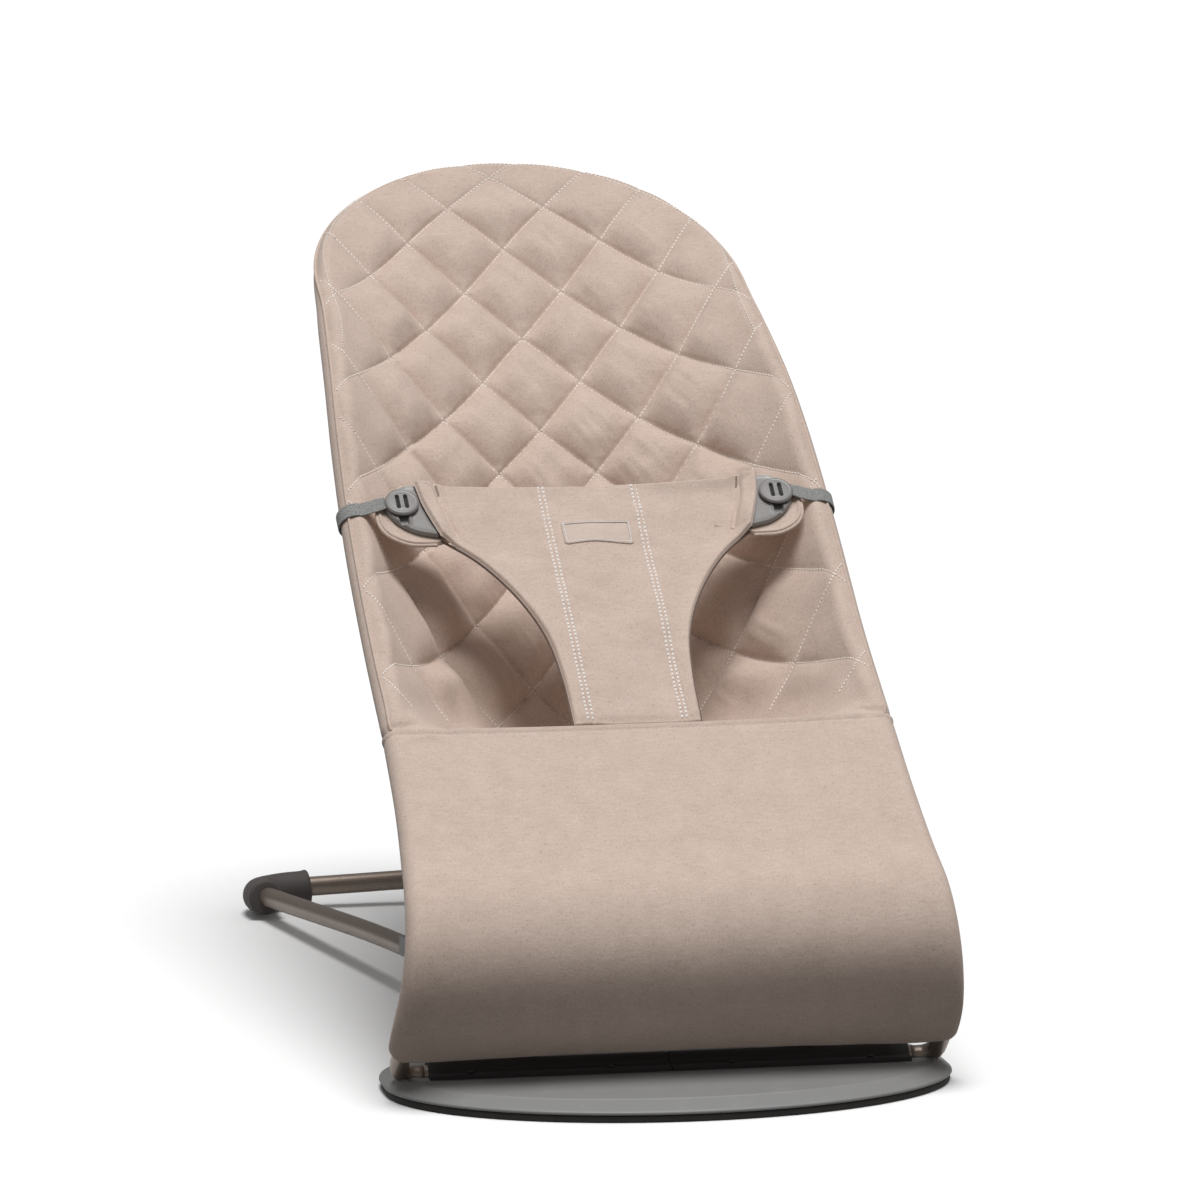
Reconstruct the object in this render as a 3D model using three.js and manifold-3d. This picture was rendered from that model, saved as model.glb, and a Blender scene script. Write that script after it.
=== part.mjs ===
// Bouncer seat: a folding steel frame with a hammock seat, a buttoned restraint flap and a base plate.
// Millimetres, +Z up, +X to the sitter's left, the front of the base plate at the lowest Y.

import * as THREE from "three";
import { mergeVertices } from "three/addons/utils/BufferGeometryUtils.js";
import Module from "manifold-3d";

const wasm = await Module();
wasm.setup();

// ---- driving sizes ----
const GAP = 0.4; // clearance kept between touching pieces
const TUBE_R = 6.5; // seat frame tube
const RAIL_R = 7; // base rails and rear crossbar
const STAY_R = 4.4; // support stay
const BEYOND = 200; // half width of a cutting tool that runs past both sides
const TUNNEL_IN = 8.7; // fabric tunnel around the seat frame
const TUNNEL_OUT = 10;
const SPLIT = { y: -172, z: 226 }; // line where the flexing seat meets the lower frame
const SPLIT_GAP = 1.4; // half the gap left across the flex line
const HINGE = { y: -274, z: 14 }; // fold axis inside the base plate
const STAY_PIVOT = { y: -197, z: 165 }; // axle of the support stay
const STAY_FOOT = { y: -62, z: 54 }; // where the stay rests in the racks
const STAY_X = 139; // the stay's legs

// side line of the seat frame: [half width, y, z] of the tube's centre
const LOWER_LINE = [
  [186, -291, 31], [186, -312, 54], [183, -327, 83], [180, -327, 110],
  [177, -311, 136], [173.5, -280, 156], [169.5, -232, 188], [167, SPLIT.y, SPLIT.z],
];
const UPPER_LINE = [
  [167, SPLIT.y, SPLIT.z], [165.5, -92, 272], [164, -8, 331], [160, 65, 386],
  [155.5, 114, 420], [146, 207, 468],
];
const HEAD = { halfWidth: 146, length: 170, power: 2.15, y: 207, z: 468, slope: Math.atan(0.42) };
const SAG = { depth: 136, run: 42, fade: 0.95, across: 2.2 }; // hang of the seat cloth between the tubes
const QUILT_THICK = 5;

const PANEL = { offset: 5.5, halfThick: 1.6, hemT: 0.012 }; // front panel over the tubes, hem near their foot

// restraint flap, in its own plane: x across, s up the seat, n towards the sitter
const FLAP = { y: -169, z: 231, rise: 0.72, thick: 3 };
const LABEL = { half: 24.6, s0: 165.5, s1: 187.5, thick: 0.8 };

// button: a foot under the keyhole plate, a neck through it and a slotted disc above it
const BUTTON = {
  x: 132, s: 212, footR: 5.8, foot: [0.5, 1.8], neckR: 2.9,
  discR: 12, faceR: 11, crownR: 7, disc: [4, 4.7, 5.6, 6.6, 7],
  slot: { from: 2.9, halfWidth: 0.9, halfLength: 5.5, floor: 4.8 },
};

// oval plate: its widest line, depth ahead of it and behind it, and the raised middle's inset
const BASE = { halfWidth: 195, wideY: -277, frontDepth: 118, rearDepth: 108, top: 13, matTop: 4.8 };

// ---- materials ----
const paint = (color, roughness, metalness = 0) =>
  new THREE.MeshStandardMaterial({ color, roughness, metalness });
const tubeMetal = paint(0x92847a, 0.38, 0.7);
const steel = paint(0xa8a8a8, 0.35, 0.9);
const platePlastic = paint(0x838383, 0.55);
const darkRubber = paint(0x37332f, 0.85);
const footRubber = paint(0x575250, 0.8);
const quilt = paint(0xd1bdb0, 0.9);
const panelCloth = paint(0xc8b5a7, 0.9);
const labelCloth = paint(0xd8c8bc, 0.8);
const webbing = paint(0x989895, 0.85);
const buttonPlastic = paint(0x7d7673, 0.5);

const group = new THREE.Group();

function add(name, geometry, material) {
  const mesh = new THREE.Mesh(geometry, material);
  mesh.name = name;
  group.add(mesh);
  return mesh;
}

// ---- geometry helpers ----
const v3 = (x, y, z) => new THREE.Vector3(x, y, z);
const mirrored = (points) => points.map((p) => v3(-p.x, p.y, p.z));
const sided = (points, side) => (side < 0 ? mirrored(points) : points);
const SIDES = [["left", 1], ["right", -1]];

function ring(radius, sides) {
  const shape = new THREE.Shape();
  for (let i = 0; i < sides; i += 1) {
    const a = (i / sides) * Math.PI * 2;
    const x = radius * Math.cos(a);
    const y = radius * Math.sin(a);
    if (i === 0) shape.moveTo(x, y);
    else shape.lineTo(x, y);
  }
  return shape;
}

function tube(points, radius, sides = 12, steps = 16) {
  const path = new THREE.CatmullRomCurve3(points, false, "centripetal");
  return new THREE.ExtrudeGeometry(ring(radius, sides), { steps, extrudePath: path });
}

function toSolid(geometry) {
  const plain = geometry.clone();
  plain.deleteAttribute("normal");
  plain.deleteAttribute("uv");
  const merged = mergeVertices(plain, 1e-4);
  return new wasm.Manifold(new wasm.Mesh({
    numProp: 3,
    vertProperties: Float32Array.from(merged.attributes.position.array),
    triVerts: Uint32Array.from(merged.index.array),
  }));
}

function toGeometry(solid) {
  const mesh = solid.getMesh();
  const geometry = new THREE.BufferGeometry();
  geometry.setAttribute("position", new THREE.Float32BufferAttribute(mesh.vertProperties, 3));
  geometry.setIndex(Array.from(mesh.triVerts));
  geometry.computeVertexNormals();
  return geometry;
}

function cut(geometry, ...tools) {
  let solid = toSolid(geometry);
  for (const tool of tools) solid = solid.subtract(toSolid(tool));
  return toGeometry(solid);
}

// closed skin over a list of rings, each capped by a fan about its mean point
function loft(rings) {
  const count = rings[0].length;
  const positions = [];
  const index = [];
  for (const points of rings) for (const p of points) positions.push(p.x, p.y, p.z);
  for (let k = 0; k + 1 < rings.length; k += 1) {
    for (let i = 0; i < count; i += 1) {
      const a = k * count + i;
      const b = k * count + ((i + 1) % count);
      index.push(a, b, b + count, a, b + count, a + count);
    }
  }
  for (const [k, flip] of [[0, true], [rings.length - 1, false]]) {
    const middle = rings[k].reduce((sum, p) => sum.add(p), v3(0, 0, 0)).divideScalar(count);
    const centre = positions.length / 3;
    positions.push(middle.x, middle.y, middle.z);
    for (let i = 0; i < count; i += 1) {
      const a = k * count + i;
      const b = k * count + ((i + 1) % count);
      if (flip) index.push(centre, b, a);
      else index.push(centre, a, b);
    }
  }
  const geometry = new THREE.BufferGeometry();
  geometry.setAttribute("position", new THREE.Float32BufferAttribute(positions, 3));
  geometry.setIndex(index);
  geometry.computeVertexNormals();
  return geometry;
}

// closed sheet: point(i, j, face) gives the upper (face 1) or lower (face -1) surface
function sheet(columns, rows, point) {
  const positions = [];
  const index = [];
  const at = (i, j, face) => (face > 0 ? 0 : 1) * (columns + 1) * (rows + 1) + j * (columns + 1) + i;
  for (const face of [1, -1]) {
    for (let j = 0; j <= rows; j += 1) {
      for (let i = 0; i <= columns; i += 1) {
        const p = point(i / columns, j / rows, face);
        positions.push(p.x, p.y, p.z);
      }
    }
  }
  const quad = (a, b, c, d) => index.push(a, b, c, a, c, d);
  for (let j = 0; j < rows; j += 1) {
    for (let i = 0; i < columns; i += 1) {
      quad(at(i, j, 1), at(i + 1, j, 1), at(i + 1, j + 1, 1), at(i, j + 1, 1));
      quad(at(i, j, -1), at(i, j + 1, -1), at(i + 1, j + 1, -1), at(i + 1, j, -1));
    }
  }
  for (let i = 0; i < columns; i += 1) {
    quad(at(i, 0, -1), at(i + 1, 0, -1), at(i + 1, 0, 1), at(i, 0, 1));
    quad(at(i + 1, rows, -1), at(i, rows, -1), at(i, rows, 1), at(i + 1, rows, 1));
  }
  for (let j = 0; j < rows; j += 1) {
    quad(at(0, j + 1, -1), at(0, j, -1), at(0, j, 1), at(0, j + 1, 1));
    quad(at(columns, j, -1), at(columns, j + 1, -1), at(columns, j + 1, 1), at(columns, j, 1));
  }
  const geometry = new THREE.BufferGeometry();
  geometry.setAttribute("position", new THREE.Float32BufferAttribute(positions, 3));
  geometry.setIndex(index);
  geometry.computeVertexNormals();
  return geometry;
}

function box(x0, x1, y0, y1, z0, z1) {
  const geometry = new THREE.BoxGeometry(x1 - x0, y1 - y0, z1 - z0);
  return geometry.translate((x0 + x1) / 2, (y0 + y1) / 2, (z0 + z1) / 2);
}

function rod(x0, x1, y, z, radius, sides = 16) {
  const geometry = new THREE.CylinderGeometry(radius, radius, x1 - x0, sides);
  return geometry.rotateZ(Math.PI / 2).translate((x0 + x1) / 2, y, z);
}

function post(x, y, z0, z1, radius, sides = 16) {
  const geometry = new THREE.CylinderGeometry(radius, radius, z1 - z0, sides);
  return geometry.rotateX(Math.PI / 2).translate(x, y, (z0 + z1) / 2);
}

// ---- seat frame lines ----
const curveOf = (line) =>
  new THREE.CatmullRomCurve3(line.map(([x, y, z]) => v3(x, y, z)), false, "centripetal");
const lowerCurve = curveOf(LOWER_LINE);
const upperCurve = curveOf(UPPER_LINE);

function along(curve, from, to, count) {
  const points = [];
  for (let i = 0; i <= count; i += 1) points.push(curve.getPointAt(from + ((to - from) * i) / count));
  return points;
}

// the head of the frame is a rounded arch in the plane of the back, t from 0 at its side to 1 at its top
function headPoint(t) {
  const a = (t * Math.PI) / 2;
  const x = HEAD.halfWidth * Math.cos(a) ** (2 / HEAD.power);
  const s = HEAD.length * Math.sin(a) ** (2 / HEAD.power);
  return v3(x, HEAD.y + s * Math.cos(HEAD.slope), HEAD.z + s * Math.sin(HEAD.slope));
}

function headArch(from, count) {
  const half = [];
  for (let i = 0; i <= count; i += 1) half.push(headPoint(from + ((1 - from) * i) / count));
  return [...half, ...mirrored(half).reverse().slice(1)];
}

// one straight line across the frame: half width, centre and the normal towards the sitter
function frameRow(curve, t) {
  const p = curve.getPointAt(t);
  const tangent = curve.getTangentAt(t);
  const size = Math.hypot(tangent.y, tangent.z);
  return { w: p.x, y: p.y, z: p.z, ny: -tangent.z / size, nz: tangent.y / size };
}

const SIDE_LENGTH = upperCurve.getLength();
const SEAT_LENGTH = SIDE_LENGTH + HEAD.length;

function seatRow(s) {
  if (s <= SIDE_LENGTH) return frameRow(upperCurve, s / SIDE_LENGTH);
  const d = Math.min(s - SIDE_LENGTH, HEAD.length - 1);
  const w = HEAD.halfWidth * (1 - (d / HEAD.length) ** HEAD.power) ** (1 / HEAD.power);
  const [c, r] = [Math.cos(HEAD.slope), Math.sin(HEAD.slope)];
  return { w, y: HEAD.y + d * c, z: HEAD.z + d * r, ny: -r, nz: c };
}

const offsetRow = (row, u, n) => v3(u * row.w, row.y + row.ny * n, row.z + row.nz * n);

// ---- base ----
// one level of the plate, drawn in from the rim by inset at its front and by sideInset at its ends
function plateRing(inset, z, sideInset = inset) {
  const points = [];
  const count = 56;
  for (let i = 0; i < count; i += 1) {
    const a = (i / count) * 2 * Math.PI;
    const power = a < Math.PI ? 2 / 3 : 1; // the rear is squarer than the front
    const depth = (a < Math.PI ? BASE.rearDepth : BASE.frontDepth) - inset;
    const x = Math.sign(Math.cos(a)) * Math.abs(Math.cos(a)) ** power;
    const y = Math.sign(Math.sin(a)) * Math.abs(Math.sin(a)) ** power;
    points.push(v3((BASE.halfWidth - sideInset) * x, BASE.wideY + depth * y, z));
  }
  return points;
}

const RAIL_LINE = [[170, 353, 16], [123, 60, 36], [106, -92, 40], [100, -190, 33], [98, -246, 29]];
const railPoints = (side) => sided(RAIL_LINE.map(([x, y, z]) => v3(x, y, z)), side);
const CROSS_LINE = [v3(-143, 382, 15.2), v3(0, 382, 19), v3(143, 382, 15.2)];
const ELBOW_LINE = [
  v3(170.2, 341, 16.6), v3(171, 358, 14.6), v3(167.5, 373, 13), v3(155, 381, 13.2), v3(132, 382, 15.4),
];
const ELBOW_R = 13;
const SOCKET = { x0: 85, x1: 113, y0: -262, y1: -206, top: 43 };
// each half of the cover over the fold bar, and the heads on its front flange
const CAP = { x0: 0.2, x1: 166, front: 17, rear: 11.4, top: 16.6, wrapR: 9.2 };
const SCREW = { r: 2.4, rise: 1.4, y: -13.2, inner: 42, outer: 138 };
const CHANNEL_R = TUBE_R + 0.8;
const SEATED = BASE.top - 0.6; // where the pieces screwed to the plate start

function buildBase() {
  const channel = rod(-BEYOND, BEYOND, HINGE.y, HINGE.z, CHANNEL_R, 24);
  const shell = loft([[1.2, 5.2, 1.2], [0, 6.6, 0], [1, 8, 1], [18, BASE.top - 0.4, 11],
    [19.5, BASE.top, 12.5]].map((level) => plateRing(...level)));
  const seats = SIDES.map(([, side]) => box(
    ...(side > 0 ? [SOCKET.x0 - 1, SOCKET.x1 + 1] : [-SOCKET.x1 - 1, -SOCKET.x0 + 1]),
    SOCKET.y0 - 1, SOCKET.y1 + 20, BASE.top - 1, SOCKET.top));
  const capSeats = SIDES.map(([, side]) => box(
    ...(side > 0 ? [CAP.x0 - 1, CAP.x1 + 1] : [-CAP.x1 - 1, -CAP.x0 + 1]),
    HINGE.y - CAP.front - 1, HINGE.y + CAP.rear + 1, BASE.top - 1, CAP.top));
  const corner = [...CORNER_LINE, LOWER_LINE[0]].map((p) => v3(...p));
  const bends = SIDES.map(([, side]) => tube(sided(corner, side), CHANNEL_R + GAP, 12, 10));
  add("base_plate", cut(shell, channel, ...bends, ...seats, ...capSeats), platePlastic);
  add("base_mat", loft([[3, 0], [1.4, 1], [1.4, BASE.matTop]].map(([inset, z]) => plateRing(inset, z))),
    darkRubber);

  for (const [name, side] of SIDES) {
    const rail = tube(railPoints(side), RAIL_R, 12, 14);
    const railBore = tube(railPoints(side), RAIL_R + GAP, 12, 14);
    add(`side_rail_${name}`, rail, tubeMetal);

    const [sx0, sx1] = side > 0 ? [SOCKET.x0, SOCKET.x1] : [-SOCKET.x1, -SOCKET.x0];
    const block = box(sx0, sx1, SOCKET.y0, SOCKET.y1, SEATED, SOCKET.top);
    add(`rail_socket_${name}`, cut(block, railBore), platePlastic);

    const [cx0, cx1] = side > 0 ? [CAP.x0, CAP.x1] : [-CAP.x1, -CAP.x0];
    const flange = box(cx0, cx1, HINGE.y - CAP.front, HINGE.y + CAP.rear, SEATED, CAP.top);
    const below = box(-BEYOND, BEYOND, HINGE.y - CAP.front, HINGE.y + CAP.front, 0, SEATED);
    const wrap = toSolid(rod(cx0, cx1, HINGE.y, HINGE.z, CAP.wrapR, 24)).subtract(toSolid(below));
    const cap = toSolid(flange).add(wrap).subtract(toSolid(channel));
    add(`hinge_cap_${name}`, toGeometry(cap), platePlastic);
    for (const place of ["inner", "outer"]) {
      const x = side * SCREW[place];
      const screw = post(x, HINGE.y + SCREW.y, CAP.top + GAP, CAP.top + SCREW.rise, SCREW.r, 12);
      add(`cap_screw_${name}_${place}`, screw, darkRubber);
    }

    const elbow = tube(sided(ELBOW_LINE, side), ELBOW_R, 12, 9);
    const crossBore = tube(CROSS_LINE, RAIL_R + GAP, 12, 6);
    const sole = box(-BEYOND, BEYOND, 300, 420, -20, 0);
    add(`rear_foot_${name}`, cut(elbow, railBore, crossBore, sole), footRubber);
    add(`stay_rack_${name}`, cut(rackBlank(side), railBore), platePlastic);
  }
  add("rear_crossbar", tube(CROSS_LINE, RAIL_R, 12, 6), tubeMetal);
}

// notched plastic rack saddled on a side rail: three dips hold the stay at its three heights
const RACK = { y0: -82, y1: 38, width: 15, rise: 10, skirt: 3, dips: [-62, -33, -5], sunk: 1.6 };

function rackBlank(side) {
  const curve = new THREE.CatmullRomCurve3(railPoints(1), false, "centripetal");
  const line = curve.getPoints(200);
  const railAt = (y) => line.reduce((a, b) => (Math.abs(b.y - y) < Math.abs(a.y - y) ? b : a));
  const stations = [RACK.y0, RACK.y0 + 8]; // Y of each cross-section
  for (const dip of RACK.dips) stations.push(dip - 5, dip - 3, dip, dip + 3, dip + 5);
  stations.push(20, RACK.y1);
  const rings = stations.map((y) => {
    const rail = railAt(y);
    const dip = RACK.dips.find((d) => Math.abs(d - y) < 5);
    const sunk = dip === undefined ? 0 : RACK.sunk * (1 - Math.abs(dip - y) / 6);
    const [x0, x1] = [rail.x - RACK.width / 2, rail.x + RACK.width / 2];
    const [z0, z1] = [rail.z - RACK.skirt, rail.z + RACK.rise - sunk];
    return [v3(x0, y, z0), v3(x0, y, z1), v3(x1, y, z1), v3(x1, y, z0)];
  });
  return side > 0 ? loft(rings) : loft(rings.map((points) => mirrored(points).reverse()));
}

// ---- lower frame ----
const BAR_HALF = 168; // bottom crossbar
const CORNER_LINE = [[168.5, HINGE.y, HINGE.z], [178, HINGE.y, 14.4], [184.3, -277.5, 18], [186, -284, 24.8]];
const BRACKET = {
  x0: 154.6, x1: 159.4, eyeR: 9, boreR: 4.4, // flat plate with an eye for the stay's axle
  top: [[-216, 192], [-190, 208], [-185, 203]], heel: [-214, 186],
};
// slot in the panel's tunnel for a bracket
const POCKET = { x0: 140, x1: 161.5, half: 22, depth: 14, slope: 0.57, at: [-203, 206.4] };
const SPLIT_T = 1 - SPLIT_GAP / lowerCurve.getLength();

function bracketShape() {
  const shape = new THREE.Shape();
  shape.moveTo(...BRACKET.top[0]);
  for (const point of BRACKET.top.slice(1)) shape.lineTo(...point);
  shape.lineTo(STAY_PIVOT.y + BRACKET.eyeR, STAY_PIVOT.z);
  shape.absarc(STAY_PIVOT.y, STAY_PIVOT.z, BRACKET.eyeR, 0, -Math.PI, true);
  shape.lineTo(...BRACKET.heel);
  const bore = new THREE.Path();
  bore.absarc(STAY_PIVOT.y, STAY_PIVOT.z, BRACKET.boreR, 0, Math.PI * 2, false);
  shape.holes.push(bore);
  return shape;
}

// shape drawn in (y, z), extruded from x0 to x1
function plateAcross(shape, x0, x1) {
  const options = { depth: x1 - x0, bevelEnabled: false, curveSegments: 8 };
  const geometry = new THREE.ExtrudeGeometry(shape, options);
  const turn = new THREE.Matrix4().makeBasis(v3(0, 1, 0), v3(0, 0, 1), v3(1, 0, 0));
  return geometry.applyMatrix4(turn).translate(x0, 0, 0);
}

function buildLowerFrame() {
  add("bottom_crossbar", rod(-BAR_HALF, BAR_HALF, HINGE.y, HINGE.z, TUBE_R, 16), tubeMetal);
  const corner = CORNER_LINE.map((p) => v3(...p));
  const side = [...corner, ...along(lowerCurve, 0, SPLIT_T, 14)];
  const wrap = along(lowerCurve, PANEL.hemT, SPLIT_T, 16);

  const panel = sheet(2, 12, (i, j, face) => {
    const row = frameRow(lowerCurve, PANEL.hemT + (SPLIT_T - PANEL.hemT) * j);
    return offsetRow(row, 2 * i - 1, PANEL.offset + face * PANEL.halfThick);
  });
  let cloth = toSolid(panel);
  for (const [, s] of SIDES) cloth = cloth.add(toSolid(tube(sided(wrap, s), TUNNEL_OUT, 10, 13)));
  for (const [, s] of SIDES) cloth = cloth.subtract(toSolid(tube(sided(side, s), TUNNEL_IN, 10, 16)));
  for (const [, s] of SIDES) {
    const [x0, x1] = s > 0 ? [POCKET.x0, POCKET.x1] : [-POCKET.x1, -POCKET.x0];
    const slot = box(x0, x1, -POCKET.half, POCKET.half, -POCKET.depth, 0.5);
    cloth = cloth.subtract(toSolid(slot.rotateX(POCKET.slope).translate(0, ...POCKET.at)));
  }
  add("front_panel", toGeometry(cloth), panelCloth);

  for (const [name, s] of SIDES) {
    add(`lower_tube_${name}`, tube(sided(side, s), TUBE_R, 10, 18), tubeMetal);
    const [x0, x1] = s > 0 ? [BRACKET.x0, BRACKET.x1] : [-BRACKET.x1, -BRACKET.x0];
    add(`stay_bracket_${name}`, plateAcross(bracketShape(), x0, x1), steel);
  }
}

// ---- support stay ----
const AXLE = { r: 5.5, half: 154.2, pinR: 4, pinHalf: 161, capR: 6.5, cap: [161.4, 163.4] };

function buildStay() {
  const { y, z } = STAY_PIVOT;
  const bar = toSolid(rod(-AXLE.half, AXLE.half, y, z, AXLE.r, 16));
  const pin = toSolid(rod(-AXLE.pinHalf, AXLE.pinHalf, y, z, AXLE.pinR, 16));
  add("stay_axle", toGeometry(bar.add(pin)), tubeMetal);
  const leg = [v3(STAY_X, y + 4, z - 4.3), v3(STAY_X, -80, 69), v3(STAY_X - 3, STAY_FOOT.y - 3, 56),
    v3(STAY_X - 11, STAY_FOOT.y, STAY_FOOT.z), v3(94, STAY_FOOT.y, STAY_FOOT.z)];
  const axleBore = rod(-BEYOND, BEYOND, y, z, AXLE.r + GAP, 16);
  for (const [name, s] of SIDES) {
    add(`stay_leg_${name}`, cut(tube(sided(leg, s), STAY_R, 8, 14), axleBore), tubeMetal);
    const [x0, x1] = s > 0 ? AXLE.cap : [-AXLE.cap[1], -AXLE.cap[0]];
    add(`axle_cap_${name}`, rod(x0, x1, y, z, AXLE.capR, 12), steel);
  }
}

// ---- seat ----
const sagAt = (s) => SAG.depth * (1 - Math.exp(-s / SAG.run)) * (1 - s / SEAT_LENGTH) ** SAG.fade;

function seatPoint(i, j, face) {
  const from = SPLIT_GAP;
  const s = from + (SEAT_LENGTH - 1 - from) * j;
  const u = 2 * i - 1;
  const hang = sagAt(Math.min(s, SEAT_LENGTH - 1)) * (1 - Math.abs(u) ** SAG.across);
  return offsetRow(seatRow(s), u, -hang + (face * QUILT_THICK) / 2);
}

const COLLAR = { r: 8, reach: 14 }; // sleeve over the joint of the side tube and the head tube

function buildSeatFrame() {
  const start = SPLIT_GAP / SIDE_LENGTH;
  const sideLine = along(upperCurve, start, 1 - GAP / SIDE_LENGTH, 12);
  for (const [name, s] of SIDES) {
    add(`upper_tube_${name}`, tube(sided(sideLine, s), TUBE_R, 10, 12), tubeMetal);
    const join = along(upperCurve, 1 - COLLAR.reach / SIDE_LENGTH, 1, 2);
    const collarLine = sided([...join, headPoint(0.04)], s);
    const bores = [tube(sided(sideLine, s), TUBE_R + GAP, 10, 12), headTube(TUBE_R + GAP),
      tube(collarLine, TUBE_R, 10, 3)];
    add(`frame_collar_${name}`, cut(tube(collarLine, COLLAR.r, 10, 3), ...bores), steel);
  }
  add("head_tube", headTube(TUBE_R), tubeMetal);
}

const headTube = (radius) => tube(headArch(0.003, 12), radius, 10, 30);

function buildSling() {
  const loop = [...along(upperCurve, SPLIT_GAP / SIDE_LENGTH, 0.97, 9), ...headArch(0.03, 9).slice(0, 10)];
  const closed = [...loop, ...mirrored(loop).reverse().slice(1)];
  const outer = tube(closed, TUNNEL_OUT, 10, 44);
  const start = [v3(167.2, SPLIT.y - 6, SPLIT.z - 3.6), ...loop];
  const bore = tube([...start, ...mirrored(start).reverse().slice(1)], TUNNEL_IN, 10, 46);
  const cloth = toSolid(sheet(12, 18, seatPoint)).add(toSolid(outer)).subtract(toSolid(bore));
  add("quilted_seat", toGeometry(cloth), quilt);
}

// ---- restraint flap ----
const flapSlope = Math.atan(FLAP.rise);
const flapFrame = new THREE.Matrix4()
  .makeBasis(v3(1, 0, 0), v3(0, Math.cos(flapSlope), Math.sin(flapSlope)),
    v3(0, -Math.sin(flapSlope), Math.cos(flapSlope)))
  .setPosition(0, FLAP.y, FLAP.z);

// outline in the flap's plane, from n0 to n1 above it
function flapSlab(shape, n0, n1, curveSegments = 8) {
  const geometry = new THREE.ExtrudeGeometry(shape, { depth: n1 - n0, bevelEnabled: false, curveSegments });
  return geometry.translate(0, 0, n0);
}

const pair = ([x, s]) => new THREE.Vector2(x, s);
const FLAP_SIDE = [[44, 3], [45, 41], [50, 82], [64, 121], [86, 156], [108.5, 179]];
const FLAP_TOP = [[108.5, 232.5], [55, 226], [0, 224], [-55, 226], [-108.5, 232.5]];
const TONGUE_ROUND = [[131, 178], [145, 188], [149.5, 201], [146, 218], [128, 234]];
const PLATE_X = 110; // inner edge of a keyhole plate
const PLATE_ROUND = [[126, 187], [139, 199], [144, 212], [140, 224], [128, 230.5]];

function flapShape() {
  const shape = new THREE.Shape();
  shape.moveTo(...FLAP_SIDE[0]);
  shape.splineThru(FLAP_SIDE.slice(1).map(pair));
  shape.lineTo(...FLAP_TOP[0]);
  shape.splineThru(FLAP_TOP.slice(1).map(pair));
  const down = FLAP_SIDE.map(([x, s]) => [-x, s]).reverse();
  shape.lineTo(...down[0]);
  shape.splineThru(down.slice(1).map(pair));
  return shape;
}

function tongueShape(side) {
  const shape = new THREE.Shape();
  shape.moveTo(side * 84, 184);
  shape.lineTo(side * 112, 176.5);
  shape.splineThru(TONGUE_ROUND.map(([x, s]) => pair([side * x, s])));
  shape.lineTo(side * 84, 230);
  return shape;
}

function keyholeShape(side) {
  const shape = new THREE.Shape();
  shape.moveTo(side * PLATE_X, 182);
  shape.splineThru(PLATE_ROUND.map(([x, s]) => pair([side * x, s])));
  shape.lineTo(side * PLATE_X, 230.5);
  return shape;
}

function capsule(x, s0, s1, r, n0, n1) {
  const shape = new THREE.Shape();
  shape.absarc(x, s1, r, 0, Math.PI, false);
  shape.absarc(x, s0, r, Math.PI, Math.PI * 2, false);
  return flapSlab(shape, n0, n1, 10);
}

// keyhole: a narrow slot with a round release end, wider under the plate's roof for the button's foot
const KEY = { top: 3.6, roof: 2.2, slotEnd: 196, release: 221, slotR: 3.3, holeR: 6.3 };

function buildButton(side) {
  const { footR, foot, neckR, discR, faceR, crownR, disc, slot } = BUTTON;
  const profile = [[0, foot[0]], [footR, foot[0]], [footR, foot[1]], [neckR, foot[1]], [neckR, disc[0]],
    [faceR, disc[0]], [discR, disc[1]], [discR, disc[2]], [faceR, disc[3]], [crownR, disc[4]], [0, disc[4]]];
  const lathe = new THREE.LatheGeometry(profile.map(([r, h]) => new THREE.Vector2(r, h)), 28);
  const slots = [-slot.from, slot.from].map((x) => box(x - slot.halfWidth, x + slot.halfWidth,
    -slot.halfLength, slot.halfLength, slot.floor, disc[4] + 1));
  return cut(lathe.rotateX(Math.PI / 2), ...slots).translate(side * BUTTON.x, BUTTON.s, 0);
}

function buildFlap() {
  const place = (geometry) => geometry.applyMatrix4(flapFrame);
  add("restraint_flap", place(flapSlab(flapShape(), 0, FLAP.thick, 6)), panelCloth);
  const labelN = FLAP.thick + GAP;
  const label = box(-LABEL.half, LABEL.half, LABEL.s0, LABEL.s1, labelN, labelN + LABEL.thick);
  add("label_patch", place(label), labelCloth);
  for (const [name, side] of SIDES) {
    add(`flap_tongue_${name}`, place(flapSlab(tongueShape(side), -2.5, -GAP, 5)), panelCloth);
    const x = side * BUTTON.x;
    const plate = cut(flapSlab(keyholeShape(side), 0, KEY.top, 5),
      capsule(x, KEY.slotEnd, KEY.release, KEY.slotR, -1, 5),
      capsule(x, KEY.slotEnd, KEY.release, KEY.holeR, -1, KEY.roof),
      capsule(x, KEY.release, KEY.release + 0.1, KEY.holeR, -1, 5));
    add(`keyhole_plate_${name}`, place(plate), buttonPlastic);
    add(`button_${name}`, place(buildButton(side)), buttonPlastic);
    add(`side_strap_${name}`, place(buildStrap(side)), webbing);
  }
}

// elastic webbing from the button's edge over the padded tube
const STRAP = { s0: 207, s1: 219, thick: 1.4, start: [[144.9, 2.6], [151, 1.4]], wrapR: 12.2 };
const STRAP_TUBE = [163.2, -12.5]; // the seat tube's centre under the strap

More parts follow.
